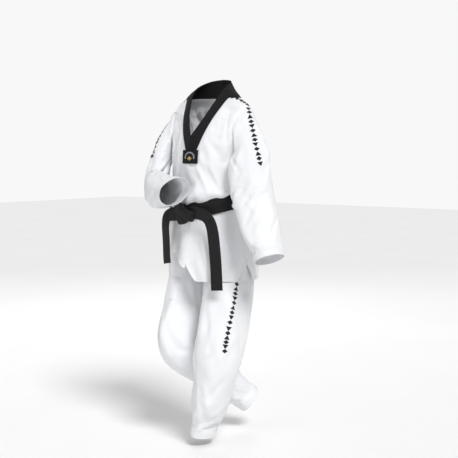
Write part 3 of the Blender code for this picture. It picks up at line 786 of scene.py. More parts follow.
# ---------------------------------------------------------------- sleeves
SLEEVE_COLUMNS = 80
LEFT_SLEEVE_FOLDS = [
    (100, 0.168, 131, 0.196, 0.0085, -0.0060),
    (85, 0.196, 124, 0.243, 0.0090, -0.0065),
    (96, 0.262, 138, 0.312, 0.0100, -0.0050),
    (60, 0.205, 96, 0.222, 0.0080, 0.0040),
    (128, 0.120, 150, 0.060, 0.0110, -0.0050),
    (110, 0.020, 140, 0.110, 0.0130, 0.0050),
    (70, 0.300, 112, 0.352, 0.0110, 0.0036),
    (40, 0.330, 75, 0.400, 0.0130, -0.0034),
    (150, 0.180, 205, 0.235, 0.0100, -0.0060),
    (165, 0.240, 215, 0.215, 0.0090, 0.0050),
    (235, 0.190, 290, 0.235, 0.0110, -0.0050),
    (250, 0.120, 300, 0.080, 0.0140, 0.0050),
    (30, 0.060, 55, 0.150, 0.0150, -0.0030),
]
RIGHT_SLEEVE_FOLDS = [
    (150, 0.060, 185, 0.150, 0.0100, -0.0070),
    (175, 0.050, 215, 0.140, 0.0110, 0.0060),
    (200, 0.100, 240, 0.170, 0.0100, -0.0080),
    (235, 0.120, 262, 0.190, 0.0100, 0.0060),
    (120, 0.150, 170, 0.190, 0.0100, -0.0070),
    (60, 0.155, 110, 0.190, 0.0110, 0.0040),
    (190, 0.200, 245, 0.235, 0.0110, -0.0060),
    (90, 0.240, 130, 0.300, 0.0120, -0.0040),
    (300, 0.150, 345, 0.195, 0.0110, -0.0050),
    (20, 0.250, 60, 0.330, 0.0130, 0.0040),
    (330, 0.060, 300, 0.130, 0.0140, -0.0050),
]


def sleeve_surface(limb, hand, side, folds, seed, mouth=None):
    """The whole sleeve from the armhole to the cuff."""
    angles = np.linspace(2.0 * pi, 0.0, SLEEVE_COLUMNS + 1)
    first = armhole_ring(hand, angles, -0.0012)
    outward = unit(armhole_ring(hand, angles, 0.01) - armhole_ring(hand, angles, 0.0))
    target = ring_at(limb, SLEEVE_START, side, angles, mouth)
    tangent = np.array(along(limb, SLEEVE_START)[1])
    reach = np.linalg.norm(target - first, axis=1, keepdims=True)
    top = np.cos(angles)[:, None].clip(0.0, 1.0)
    slope = np.array([0.80 * hand, 0.0, -0.55])
    leave = unit(unit(target - first) * 0.75 + outward * 0.35 + slope * top * 0.8) * reach * 0.95
    arrive = tangent[None] * reach * 0.95
    rows = []
    places = []
    for t in np.linspace(0.0, 1.0, 26)[:-1]:
        rows.append(first * (2 * t ** 3 - 3 * t ** 2 + 1) + leave * (t ** 3 - 2 * t ** 2 + t)
                    + target * (3 * t ** 2 - 2 * t ** 3) + arrive * (t ** 3 - t ** 2))
        places.append(mix(-0.085, SLEEVE_START, t))
    end = limb_length(limb)
    hem = end - SLEEVE_HEM
    for d in hem_rows(SLEEVE_START, end, hem, 56):
        rows.append(ring_at(limb, d, side, angles, mouth))
        places.append(d)
    grid = np.stack(rows)
    place = np.broadcast_to(np.array(places)[:, None], grid.shape[:2])
    angle = np.broadcast_to(np.degrees(angles)[None], grid.shape[:2])
    spread_folds = folds + scattered(seed, 20, (0.03, end - 0.10), 40.0, 0.05, 0.0095, 0.0030)
    height = strokes(angle, place, 0.066, spread_folds)
    height = height + ripples(angle, place, seed, (2, 3, 5, 7), 0.34, 0.0020)
    hem_calm = 1.0 - 0.55 * smooth((place - (hem - 0.03)) / 0.04)
    start_calm = smooth((place + 0.085) / 0.030)
    grid = grid + grid_normals(grid, closed=True) * (height * hem_calm * start_calm)[..., None]
    tag = split_tags(places, distance_to(limb, 2) - ELBOW_SPLIT)
    surface = Surface().add(grid, grid_layout(grid), tag, extra=place).weld()
    held = np.maximum(1.0 - smooth((surface.extra + 0.085) / 0.05), 0.0)
    held = np.maximum(held, smooth((surface.extra - (end - 0.05)) / 0.03) * 0.9)
    surface.settle(np.clip(held, 0.0, 1.0), 0.035)
    return sewn_hem(surface, hem, 0.0013, 0.00055, 0.0006)


def sleeves(cotton):
    """Both sleeves, each in two pieces; returns their surfaces and how the upper pieces move."""
    made = {}
    for label, limb, hand, side, folds, mouth, start, end in (
            ("left", LEFT_ARM, 1.0, LEFT_ARM_SIDE, LEFT_SLEEVE_FOLDS, None,
             (0.168, -0.010, -0.206), (0.210, -0.017, -0.262)),
            ("right", RIGHT_ARM, -1.0, RIGHT_ARM_SIDE, RIGHT_SLEEVE_FOLDS, RIGHT_MOUTH,
             (-0.168, -0.020, -0.200), (-0.208, -0.048, -0.263))):
        surface = sleeve_surface(limb, hand, side, folds, 11 if hand > 0 else 23, mouth)
        upper_blend = ("torso", label + "_upper_sleeve", start, end)
        elbow = distance_to(limb, 2)
        lower_blend = (label + "_upper_sleeve", label + "_lower_sleeve",
                       along(limb, elbow - ELBOW_SPLIT)[0], along(limb, elbow + 0.07)[0])
        node = "sleeve_" + label
        cloth_piece(node + "_upper_cloth", surface, cotton,
                    (node + "_cap", node + "_upper", node + "_elbow"), "hung", blend=upper_blend)
        cloth_piece(node + "_lower_cloth", surface, cotton, (node + "_lower", node + "_hem"), "hung",
                    tags=(1,), blend=lower_blend)
        made[label] = (surface, upper_blend)
    return made


# ---------------------------------------------------------------- jacket body
JACKET_FOLDS = [
    (43, -0.035, 52, -0.245, 0.0110, -0.0045),
    (30, -0.060, 36, -0.200, 0.0120, 0.0030),
    (58, -0.120, 46, -0.235, 0.0100, 0.0045),
    (24, -0.270, 42, -0.352, 0.0100, -0.0050),
    (10, -0.265, 30, -0.360, 0.0100, 0.0038),
    (62, -0.240, 50, -0.340, 0.0120, -0.0045),
    (76, -0.245, 66, -0.350, 0.0120, 0.0050),
    (-26, -0.060, -34, -0.190, 0.0120, -0.0040),
    (-52, -0.120, -40, -0.260, 0.0120, 0.0045),
    (-20, -0.240, -36, -0.345, 0.0110, -0.0045),
    (-60, -0.250, -46, -0.350, 0.0120, -0.0045),
    (140, -0.060, 152, -0.220, 0.0140, -0.0040),
    (220, -0.060, 208, -0.230, 0.0140, -0.0040),
    (165, -0.200, 150, -0.330, 0.0140, 0.0045),
    (196, -0.190, 212, -0.320, 0.0140, 0.0045),
    (120, -0.220, 135, -0.340, 0.0120, -0.0045),
    (238, -0.220, 224, -0.340, 0.0120, -0.0045),
]


def jacket_surface():
    """The jacket's body from under the belt to the shoulders, open along the V."""
    columns = 176
    heights = np.concatenate([np.linspace(0.0, 1.0, 45)[:-1] * (YOKE_Z - JACKET_LOW) + JACKET_LOW,
                              np.linspace(YOKE_Z, NECK_TOP_Z + 0.0005, 20)])
    share = np.linspace(0.0, 1.0, columns + 1)
    rows = []
    turns = []
    for z in heights:
        first = float(neck_turn(z) * smooth((z - V_BOTTOM_Z) / 0.014))
        reach = 0.08 + first / 360.0 * 1.6
        pull = (np.clip(1.0 - share / reach, 0.0, 1.0) ** 2
                - np.clip(1.0 - (1.0 - share) / reach, 0.0, 1.0) ** 2)
        turn = 360.0 * share + first * pull
        low = belt_z(turn) - 0.004
        above = z - JACKET_LOW
        at = mix(low + above, z, float(smooth(above / 0.16)))
        rows.append(torso_points(turn, at))
        turns.append(turn)
    grid = np.stack(rows)
    turn = np.stack(turns)
    z = grid[..., 2]
    near_belt = z - belt_z(turn)
    folds = JACKET_FOLDS + scattered(5, 16, (-0.36, -0.10), 16.0, 0.06, 0.012, 0.0030)
    height = strokes(turn, z, 0.150, folds)
    height = height + ripples(turn, z, 7, (4, 6, 9), 0.40, 0.0016)
    pleats = 0.5 + 0.5 * np.sin(np.radians(turn) * 17 + 2.2 * np.sin(np.radians(turn) * 3 + 1.0))
    height = height + (pleats - 0.35) * 0.0046 * bump_at(near_belt, 0.034, 0.030)
    height = height + 0.0040 * bump_at(near_belt, 0.056, 0.034)
    calm = smooth((near_belt - 0.004) / 0.030) * smooth((NECK_TOP_Z + 0.004 - z) / 0.05)
    beside_v = smooth((np.abs(wrap(turn)) - neck_turn(z)) / 8.0)
    calm = calm * np.where(z > V_BOTTOM_Z, beside_v, 1.0)
    side = 90.0 - np.abs(wrap(turn))
    hole = np.sqrt(((z - ARMHOLE_Z) / ARMHOLE_HALF) ** 2 + (side / ARMHOLE_SPREAD) ** 2)
    calm = calm * smooth((hole - 0.98) / 0.30)
    grid = grid + torso_normals(turn, z) * (height * calm)[..., None]
    inside = (hole[:-1, :-1] < 0.93) & (hole[1:, 1:] < 0.93)
    held = np.maximum(1.0 - calm, 0.0)
    surface = Surface().add(grid[::-1], grid_layout(grid[::-1]), 0, skip=inside[::-1],
                            extra=held[::-1]).weld()
    surface.settle(np.clip(surface.extra, 0.0, 1.0), 0.030, cap=0.007, gravity=0.15)
    return surface


def torso_normals(turn, z):
    """Outward directions square to the jacket's outline."""
    step = 0.4
    across = torso_points(turn + step, z) - torso_points(turn - step, z)
    up = torso_points(turn, z + 0.002) - torso_points(turn, z - 0.002)
    return unit(np.cross(across, up))


# ---------------------------------------------------------------- skirt
FRONT_MOTION = ("torso", "front_flap", (0.0, -0.05, -0.50), (0.0, -0.16, -0.53))
BACK_MOTION = ("torso", "back_flap", (0.0, 0.03, -0.50), (0.0, 0.10, -0.53))
SKIRT_FOLDS = [
    (16, -0.470, 34, -0.640, 0.0130, 0.0050),
    (48, -0.460, 56, -0.620, 0.0140, -0.0045),
    (64, -0.450, 76, -0.600, 0.0120, 0.0045),
    (-14, -0.470, -30, -0.600, 0.0130, 0.0045),
    (-46, -0.460, -60, -0.590, 0.0140, -0.0045),
    (130, -0.450, 122, -0.640, 0.0150, 0.0050),
    (160, -0.450, 168, -0.660, 0.0150, -0.0045),
    (200, -0.450, 190, -0.660, 0.0150, 0.0050),
    (232, -0.450, 240, -0.640, 0.0150, -0.0045),
]


def skirt_grid(first, last, columns, first_open=0.0, last_open=0.0, seed=1):
    """A flap's grid below the belt; its edges swing open below the tops of its slits."""
    rows = 44
    share = np.linspace(0.0, 1.0, columns + 1)
    turn = mix(first, last, share)[None]
    down = np.linspace(0.0, 1.0, rows + 1)[:, None]
    # closer rows at the hem's stitching
    down = np.sort(np.concatenate([down, [[0.957], [0.962], [0.967], [0.994]]]), axis=0)
    z = mix(belt_z(turn) + 0.006, hem_z(turn), down)
    below = np.maximum(SLIT_TOP_Z - z, 0.0) / (SLIT_TOP_Z - HEM_Z)
    place = turn + below * (first_open * (1.0 - share[None]) ** 2 + last_open * share[None] ** 2)
    from_belt = belt_z(turn) - z
    flow = smooth((from_belt - 0.020) / 0.10)
    waves_round = np.sin(np.radians(turn) * 11 + 1.6 * np.sin(np.radians(turn) * 2.0 + seed)
                         + from_belt * 9.0)
    height = waves_round * (0.0022 * bump_at(from_belt, 0.060, 0.045)
                            + 0.0042 * flow * smooth(from_belt / 0.25))
    height = height + strokes(turn, z, SKIRT_ROUND, SKIRT_FOLDS) * flow
    height = np.maximum(height, -0.0035)
    grid = torso_points(place, z) + torso_normals(place, z) * height[..., None]
    return grid, np.broadcast_to(from_belt, z.shape), z, turn


def hem_height(z, turn, first, last):
    """Doubled cloth along the hem and the slits, with a line of stitching at its inner edge."""
    to_slit = np.minimum(np.radians(np.abs(turn - first)), np.radians(np.abs(turn - last))) * SKIRT_ROUND
    near = np.minimum(z - hem_z(turn), np.where(z < SLIT_TOP_Z + 0.010, to_slit, 1.0))
    doubled = 0.0007 * smooth((SKIRT_HEM + 0.001 - near) / 0.002)
    stitch = 0.0006 * bump_at(near, SKIRT_HEM - 0.001, 0.0012)
    return doubled - stitch


def add_flap(surface, first, last, columns, opens, tag=0, seed=1, middle=False):
    """Adds a flap's grid to a surface; its extra holds the hem's height, plus one where it is held."""
    grid, from_belt, z, turn = skirt_grid(first, last, columns, *opens, seed=seed)
    if middle:
        # the two front panels part by a hair along the slit between them
        apart = 0.0006 * (1 - 2 * tag)
        grid[..., 0] += np.where((z < SLIT_TOP_Z) & (np.abs(turn) < 1e-5), apart, 0.0)
    layout = grid_layout(grid)
    if tag == 1:
        layout = layout - np.array([layout[0, -1, 0], 0.0])
    edge = hem_height(z, turn, first, last)
    surface.add(grid, layout, tag, extra=edge + np.where(from_belt < 0.020, 1.0, 0.0))


def settled_flap(surface):
    """The surface after its cloth has settled, with its hems doubled."""
    surface.weld()
    fixed = surface.extra > 0.5
    edges = np.where(fixed, surface.extra - 1.0, surface.extra)
    surface.settle(np.where(fixed, 1.0, 0.12), 0.030, cap=0.007, gravity=0.3)
    return surface.push(edges)


def skirt_surfaces():
    side = SLIT_TURN - SLIT_EDGE
    front = Surface()
    add_flap(front, 0.0, side, 44, (FRONT_SLIT_OPEN, -SIDE_SLIT_OPEN), tag=0, middle=True)
    add_flap(front, -side, -1e-6, 44, (0.0, 0.0), tag=1, middle=True)
    back = Surface()
    side = SLIT_TURN + SLIT_EDGE
    add_flap(back, side, 360.0 - side, 96, (BACK_SLIT_OPEN, 0.0), seed=3)
    return settled_flap(front), settled_flap(back)


# ---------------------------------------------------------------- trousers
LEG_COLUMNS = 96
SEAT_ROWS = 34
LEFT_LEG_FOLDS = [
    (30, 0.060, 73, 0.110, 0.0120, -0.0060),
    (20, 0.095, 60, 0.150, 0.0120, 0.0045),
    (38, 0.195, 72, 0.270, 0.0130, -0.0055),
    (10, 0.215, 45, 0.300, 0.0140, 0.0045),
    (60, 0.290, 110, 0.330, 0.0120, -0.0050),
    (20, 0.360, 60, 0.440, 0.0150, -0.0040),
    (75, 0.400, 40, 0.500, 0.0150, 0.0040),
    (120, 0.050, 165, 0.120, 0.0130, -0.0060),
    (150, 0.110, 190, 0.210, 0.0130, 0.0050),
    (200, 0.060, 250, 0.120, 0.0150, -0.0050),
    (255, 0.250, 300, 0.290, 0.0130, -0.0060),
    (245, 0.300, 310, 0.320, 0.0120, 0.0050),
    (265, 0.380, 300, 0.480, 0.0150, -0.0040),
]
RIGHT_LEG_FOLDS = [
    (140, 0.040, 165, 0.110, 0.0120, -0.0060),
    (170, 0.060, 200, 0.150, 0.0120, 0.0050),
    (40, 0.090, 330, 0.160, 0.0140, -0.0050),
    (300, 0.180, 260, 0.270, 0.0140, 0.0045),
    (250, 0.250, 200, 0.300, 0.0120, -0.0060),
    (100, 0.260, 60, 0.320, 0.0120, -0.0055),
    (90, 0.300, 40, 0.360, 0.0130, 0.0050),
    (300, 0.320, 330, 0.420, 0.0150, -0.0045),
    (20, 0.380, 350, 0.470, 0.0150, 0.0040),
    (150, 0.350, 120, 0.450, 0.0150, -0.0040),
]


def trouser_surface(limb, hand, folds, seed):
    """One half of the trousers: an open seat that closes into the leg, down to its hem."""
    t = np.linspace(0.0, 1.0, LEG_COLUMNS + 1)
    angles = pi - hand * 2.0 * pi * t
    side = Vector((hand, 0.0, 0.0))
    centre, half, depth = limb[0]
    rows = []
    places = []

    def level(z):
        """The leg's first ring, moved to a height."""
        return np.stack([centre.x + hand * half * np.cos(pi * (1.0 + 2.0 * t)),
                         centre.y - depth * np.sin(2.0 * pi * t), np.full_like(t, z)], axis=-1)

    for s in np.linspace(0.0, 1.0, SEAT_ROWS + 1)[:-1]:
        z = mix(WAISTBAND_BOTTOM + 0.001, CROTCH_Z, s)
        hip = torso_points(hand * mix(0.3, 179.7, t), z, SEAT_OUT)
        row = mix(hip, level(z), float(smooth((s - 0.30) / 0.70)) * 0.985)
        row[:, 0] = hand * np.maximum(np.abs(row[:, 0]), 0.0004)
        rows.append(row)
        places.append(CROTCH_Z - z)
    end = limb_length(limb)
    hem = end - LEG_HEM
    for d in hem_rows(0.0, end, hem, 84):
        ring = ring_at(limb, d, side, angles)
        rows.append(mix(level(CROTCH_Z - d), ring, float(smooth(d / HIP_END))))
        places.append(d)
    grid = np.stack(rows)
    if hand < 0.0:
        grid = grid[:, ::-1]
        angles = angles[::-1]
    place = np.broadcast_to(np.array(places)[:, None], grid.shape[:2])
    angle = np.broadcast_to(np.degrees(angles)[None], grid.shape[:2])
    all_folds = folds + scattered(seed, 30, (0.0, end - 0.12), 30.0, 0.07, 0.0125, 0.0032)
    height = strokes(angle, place, 0.092, all_folds)
    height = height + ripples(angle, place, seed, (2, 3, 4, 6), 0.45, 0.0026)
    under_skirt = smooth((place + 0.05) / 0.08)
    hem_calm = 1.0 - 0.6 * smooth((place - (hem - 0.04)) / 0.05)
    inner = 1.0 - 0.7 * bump_at(wrap(angle - 180.0), 0.0, 28.0) * bump_at(place, 0.0, 0.10)
    height = height * under_skirt * hem_calm * inner
    height = np.where(place < 0.03, np.minimum(height, 0.001), height)
    normals = np.where((place > 0.0)[..., None], grid_normals(grid, True), grid_normals(grid, False))
    grid = grid + normals * height[..., None]
    grid[:, -1] = np.where(place[:, :1] >= 0.0, grid[:, 0], grid[:, -1])
    tag = split_tags(places, distance_to(limb, 2) - KNEE_SPLIT)
    surface = Surface().add(grid, grid_layout(grid), tag, extra=place).weld()
    surface.even_out(bump_at(surface.extra, 0.0, 0.035), 14)
    held = np.maximum(1.0 - smooth((surface.extra - 0.02) / 0.05),
                      0.9 * smooth((surface.extra - (end - 0.06)) / 0.03))
    surface.settle(np.clip(held, 0.0, 1.0), 0.035, cap=0.008, gravity=0.25)
    return sewn_hem(surface, hem, 0.0014, 0.0006, 0.0007)


def trousers(cotton):
    """Both halves, each in two pieces; returns their surfaces and how the pieces move."""
    made = {}
    for label, limb, hand, folds, end in (
            ("left", LEFT_LEG, 1.0, LEFT_LEG_FOLDS, (0.05, -0.04, -0.81)),
            ("right", RIGHT_LEG, -1.0, RIGHT_LEG_FOLDS, (-0.05, -0.04, -0.81))):
        surface = trouser_surface(limb, hand, folds, 31 if hand > 0 else 47)
        knee = distance_to(limb, 2)
        node = "trouser_" + label
        upper_blend = ("torso", label + "_thigh", (0.0, -0.02, -0.69), end)
        lower_blend = (label + "_thigh", label + "_shin", along(limb, knee - KNEE_SPLIT)[0],
                       along(limb, knee + 0.10)[0])
        nodes = ("trouser_seat_" + label, node + "_hip", node + "_thigh", node + "_knee")
        cloth_piece(node + "_upper_cloth", surface, cotton, nodes, "hung", blend=upper_blend)
        cloth_piece(node + "_lower_cloth", surface, cotton, (node + "_shin", node + "_hem"), "hung",
                    tags=(1,), blend=lower_blend)
        made[label] = (surface, upper_blend, lower_blend)
    return made


def waistband(cotton):
    """The gathered band at the top of the trousers, under the belt."""
    turn = np.linspace(0.0, 360.0, 241)
    down = np.linspace(0.0, 1.0, 9)[:, None]
    z = mix(WAISTBAND_TOP, WAISTBAND_BOTTOM, down) + 0.0 * turn
    gathers = 0.0012 * np.sin(np.radians(turn) * 62 + 2.0 * np.sin(np.radians(turn) * 5.0))
    grid = torso_points(turn, z, WAISTBAND_OUT - 0.0012 + gathers * (0.5 + 0.5 * np.sin(pi * down)))
    grid[:, -1] = grid[:, 0]
    cloth_piece("waistband_cloth", one_sheet(grid), cotton, ("waistband",), "gathered",
                ["waist_elastic"], ride="torso")


# ---------------------------------------------------------------- appliques and embroidery
def lay_on(tree, points, lift):
    """Points moved onto the cloth below them and lifted off it; returns them and the cloth's normals."""
    made = np.empty_like(points)
    normals = np.empty_like(points)
    for number, point in enumerate(points.reshape(-1, 3)):
        spot, normal, _, _ = tree.find_nearest(Vector(point))
        made.reshape(-1, 3)[number] = np.array(spot) + np.array(normal) * lift
        normals.reshape(-1, 3)[number] = normal
    return made, normals


def ornament_grid(centre, across, along_way, corners):
    """A four-cornered patch, its corners given in millimetres across and along the row of marks."""
    c = np.array(corners, float) / 1000.0
    s = np.linspace(0.0, 1.0, 8)[:, None, None]
    t = np.linspace(0.0, 1.0, 3)[None, :, None]
    flat = (c[0] * (1 - s) * (1 - t) + c[3] * s * (1 - t) + c[1] * (1 - s) * t + c[2] * s * t)
    return centre + flat[..., :1] * across + flat[..., 1:] * along_way


# Generic stitched ornaments, each one four-cornered patch; corners in millimetres
LOZENGE = [(-11, 0), (0, 8), (11, 0), (0, -8)]
TRIANGLE = [(-11, -7), (-1.5, 7), (1.5, 7), (11, -7)]
WEDGE = [(-11, 7), (11, 7), (1.5, -7), (-1.5, -7)]
ORNAMENTS = [TRIANGLE, LOZENGE, WEDGE, LOZENGE]


# Rows of ornaments: name, what they are sewn to, how many, and given points that the row follows
MARKS = [
    ("left_shoulder", "left sleeve", 13, [
        (0.172, -0.009, -0.056), (0.202, -0.034, -0.098), (0.222, -0.051, -0.132),
        (0.250, -0.068, -0.176), (0.270, -0.074, -0.222), (0.277, -0.071, -0.252)]),
    ("left_yoke", "jacket", 5, [
        (0.112, -0.020, -0.010), (0.130, -0.010, -0.019), (0.158, 0.003, -0.044)]),
    ("right_shoulder", "right sleeve", 12, [
        (-0.178, -0.022, -0.064), (-0.194, -0.050, -0.108), (-0.202, -0.086, -0.152),
        (-0.202, -0.114, -0.200), (-0.208, -0.120, -0.226)]),
    ("right_yoke", "jacket", 5, [
        (-0.112, -0.026, -0.010), (-0.128, -0.019, -0.020), (-0.154, -0.008, -0.044)]),
    ("left_thigh", "left thigh", 10, [
        (0.166, -0.060, -0.676), (0.171, -0.076, -0.708), (0.178, -0.100, -0.755),
        (0.178, -0.117, -0.798), (0.178, -0.126, -0.824)]),
    ("left_knee", "left shin", 6, [
        (0.177, -0.133, -0.846), (0.175, -0.145, -0.888), (0.174, -0.153, -0.925)]),
]


def marks(name, surface, guides, count, material, **motion):
    """A close row of embroidered ornaments along a curve through given points on the cloth."""
    tree = surface.tree()
    stitched = Surface()
    places = curve_points([Vector(g) for g in guides], count)
    for number, place in enumerate(places):
        spot, normal, _, _ = tree.find_nearest(Vector(place))
        centre, normal = np.array(spot), np.array(normal)
        way = places[min(number + 1, count - 1)] - places[max(number - 1, 0)]
        way = unit(way - normal * float(way @ normal))
        across = unit(np.cross(normal, way))
        corners = ORNAMENTS[number % len(ORNAMENTS)]
        grid = faced(*lay_on(tree, ornament_grid(centre, across, way, corners), 0.0009))
        stitched.add(grid, grid_layout(grid), 0)
    made = stitched.weld().shell(name, material, thick=0.0012)
    finish_piece(made, "black_cloth", **motion)


# ---------------------------------------------------------------- neckband and label
def neckband(material):
    """The V's band: from the bottom up one side, round the back of the neck and down the other."""
    count = 61
    inner = curve_points(NECK_EDGE, count)
    outer = [torso_points(0.0, V_BOTTOM_Z - 0.002, BAND_OUT)]
    on_front = 0.44
    for i in range(1, count):
        t = i / (count - 1)
        if t <= on_front:
            z = mix(V_BOTTOM_Z + 0.0001, NECK_TOP_Z, t / on_front)
            outer.append(torso_points(float(neck_turn(z)), z, BAND_OUT))
        else:
            s = (t - on_front) / (1.0 - on_front)
            turn = mix(float(neck_turn(NECK_TOP_Z)), 180.0, s)
            outer.append(torso_points(turn, NECK_TOP_Z, mix(BAND_OUT, 0.002, s)))
    outer = even_steps(np.array(outer), count)
    share = np.concatenate([[0.0, 0.03, 0.06, 0.09], np.linspace(0.14, 0.86, 12), [0.91, 0.94, 0.97, 1.0]])
    arch = 0.0022 * np.sin(pi * share)
    stitch = -0.0006 * (bump_at(share, 0.07, 0.022) + bump_at(share, 0.93, 0.022))
    surface = Surface()
    for hand in (1.0, -1.0):
        low, high = (edge * np.array([hand, 1.0, 1.0]) for edge in (outer, inner))
        grid = low[:, None] * (1.0 - share[None, :, None]) + high[:, None] * share[None, :, None]
        if hand < 0.0:
            grid = grid[:, ::-1]
        # columns run outer edge to inner edge; rows run up the band
        normals = grid_normals(grid[::-1], closed=False)[::-1]
        outward = grid * np.array([1.0, 1.0, 0.0])
        if float((normals * outward).sum()) < 0.0:
            normals = -normals
        profile = (arch + stitch) if hand > 0 else (arch + stitch)[::-1]
        grid = grid + normals * profile[None, :, None]
        grid[0, :, 0] = 0.0
        grid[-1, :, 0] = 0.0
        grid = faced(grid, outward)
        layout = grid_layout(grid)
        if hand < 0.0:
            layout = np.stack([layout[..., 0], 2.0 * layout[-1, 0, 1] - layout[..., 1]], axis=-1)
        surface.add(grid, layout, 0)
    cloth_piece("neckband_cloth", surface.weld(), material,
                ("neckband_left", "neckband_right", "neckband_back"), "folded", ["jacket_body"],
                slot="black_cloth", thick=0.0026, ride="torso")


def label_tab(black, grey, gold):
    """Cloth tab under the V, with a raised arch and a small lozenge of gold thread."""
    turn = np.linspace(-TAB_TURN, TAB_TURN, 29)[None]
    bottom, top = LABEL_Z
    z = np.linspace(top, bottom, 31)[:, None]
    from_side = np.minimum(turn + TAB_TURN, TAB_TURN - turn) * 0.0022
    edge = np.minimum(from_side, np.minimum(top - z, z - bottom))
    stitch = -0.0006 * bump_at(edge, 0.0028, 0.0007)
    crown = 0.0008 * smooth(edge / 0.002)
    grid = torso_points(turn + 0.0 * z, z + 0.0 * turn, 0.0068 + stitch + crown)
    cloth_piece("neck_tab_cloth", one_sheet(grid), black, ("neck_tab",), "folded", ["jacket_body"],
                slot="black_cloth", thick=0.0022, ride="torso")

    bend = np.linspace(radians(-112.0), radians(112.0), 41)
    rim = np.linspace(0.0, 1.0, 6)[None]
    radius = mix(0.0125, 0.0172, rim)
    x = np.sin(bend)[:, None] * radius
    up = np.cos(bend)[:, None] * radius * 1.12
    lift = 0.0080 + 0.0009 * np.sin(pi * rim) + 0.0 * x
    arch = faced(torso_points(np.degrees(x / LABEL_ROUND), ARCH_Z + up, lift), FORWARD)
    badge = one_sheet(arch).shell("badge_arch", grey, thick=0.0011)
    finish_piece(badge, "badge_cloth", ("tab_badge",), ride="torso")

    bend = np.linspace(0.0, 2.0 * pi, 33)
    rim = np.linspace(0.0, 1.0, 6)[None]
    petal = 0.0078 * (0.80 + 0.20 * np.cos(bend * 4.0))[:, None]
    x = np.sin(bend)[:, None] * rim * petal
    up = np.cos(bend)[:, None] * rim * petal
    lift = 0.0084 + 0.0010 * (1.0 - rim ** 2) + 0.0 * x
    star = faced(torso_points(np.degrees(x / LABEL_ROUND), PETALS_Z + up, lift)[:, 1:], FORWARD)
    finish_piece(one_sheet(star).shell("badge_petals", gold, thick=0.0014), "badge_cloth", ride="torso")


# ---------------------------------------------------------------- belt
def ribbon(name, centre, across, normal, material, width=BELT_WIDTH, thick=0.0032, closed=False,
           curl=0.0):
    """A stitched strip swept along stations, with rounded edges, ridges and square ends."""
    half = width / 2.0
    turn_in = np.sin(np.linspace(-pi / 2.0, pi / 2.0, 37))
    x = turn_in * half
    edge = np.sqrt(np.maximum(1.0 - np.abs(turn_in) ** 14, 0.0))
    ridge = 0.00036 * np.cos(2.0 * pi * x / (BELT_WIDTH / 9.0))
    bow = -curl * turn_in ** 2
    top = (thick / 2.0 + ridge) * edge + bow
    low = -(thick / 2.0 + ridge) * edge + bow
    ring_x = np.concatenate([x, x[::-1][1:-1]])
    ring_h = np.concatenate([top, low[::-1][1:-1]])
    step = np.gradient(centre, axis=0)
    if float((np.cross(step, across) * normal).sum()) < 0.0:
        ring_x, ring_h = ring_x[::-1], ring_h[::-1]
    stations = len(centre) - (1 if closed else 0)
    points = (centre[:stations, None] + across[:stations, None] * ring_x[None, :, None]
              + normal[:stations, None] * ring_h[None, :, None])
    ring = len(ring_x)
    run = run_along(centre)
    faces = []
    flats = []
    last = len(centre) - 1
    for i in range(last):
        j = (i + 1) % stations
        k = np.arange(ring)
        m = (k + 1) % ring
        faces.append(np.stack([i * ring + k, j * ring + k, j * ring + m, i * ring + m], -1))
        u0, u1 = ring_x[k], ring_x[m]
        v0, v1 = np.full(ring, run[i]), np.full(ring, run[i + 1])
        flats.append(np.stack([np.stack([u0, v0], -1), np.stack([u0, v1], -1),
                               np.stack([u1, v1], -1), np.stack([u1, v0], -1)], axis=1))
    if not closed:
        for i, order in ((0, 1), (stations - 1, -1)):
            k = np.arange((ring - 2) // 2)
            side = np.stack([k + 1, k, (ring - k) % ring, ring - k - 1], -1)
            side = side[[len(set(q)) == 4 for q in side.tolist()]]
            cap = (side if order < 0 else side[:, ::-1]) + i * ring
            faces.append(cap)
            spot = np.stack([ring_x[cap % ring], run[i] + ring_h[cap % ring]], -1)
            flats.append(spot)
    faces = np.concatenate(faces)
    return mesh_object(name, points.reshape(-1, 3), faces, np.concatenate(flats), material), run[-1]


def belt_turn(name, out, lift, node, material):
    """One turn of the belt round the waist."""
    turn = np.linspace(0.0, 360.0, 181)
    z = belt_z(turn) + lift
    centre = torso_points(turn, z, out - 0.0016)
    across = unit(torso_points(turn, z + 0.02, out) - torso_points(turn, z - 0.02, out))
    step = unit(torso_points(turn + 1.0, z, out) - torso_points(turn - 1.0, z, out))
    normal = unit(np.cross(step, across))
    made, _ = ribbon(name, centre, across, normal, material, closed=True)
    finish_piece(made, "black_cloth", (node,), ride="torso")


def hug(name, tilt, height, depth, width, arc, curl, material, offset):
    """A strand of belt pulled tight over the knot: part of a squarish loop, leaning by tilt degrees."""
    lean = radians(tilt)
    along_way = np.array([sin(lean), 0.0, cos(lean)])
    front = np.array([0.05, -1.0, 0.0])
    phase = np.radians(np.linspace(arc[0], arc[1], 49))
    power = 0.72
    up = np.sign(np.sin(phase)) * np.abs(np.sin(phase)) ** power * height
    fore = np.sign(np.cos(phase)) * np.abs(np.cos(phase)) ** power * depth
    middle = np.array(KNOT_CENTRE) + np.array(offset)
    centre = even_steps(middle + up[:, None] * along_way + fore[:, None] * front, 61)
    step = unit(np.gradient(centre, axis=0))
    across = np.broadcast_to(unit(np.array([cos(lean), 0.0, -sin(lean)])), step.shape)
    normal = unit(np.cross(step, across))
    if float((normal * (centre - middle)).sum()) < 0.0:
        normal = -normal
    made, _ = ribbon(name, centre, across, normal, material, width=width, curl=curl)
    return made


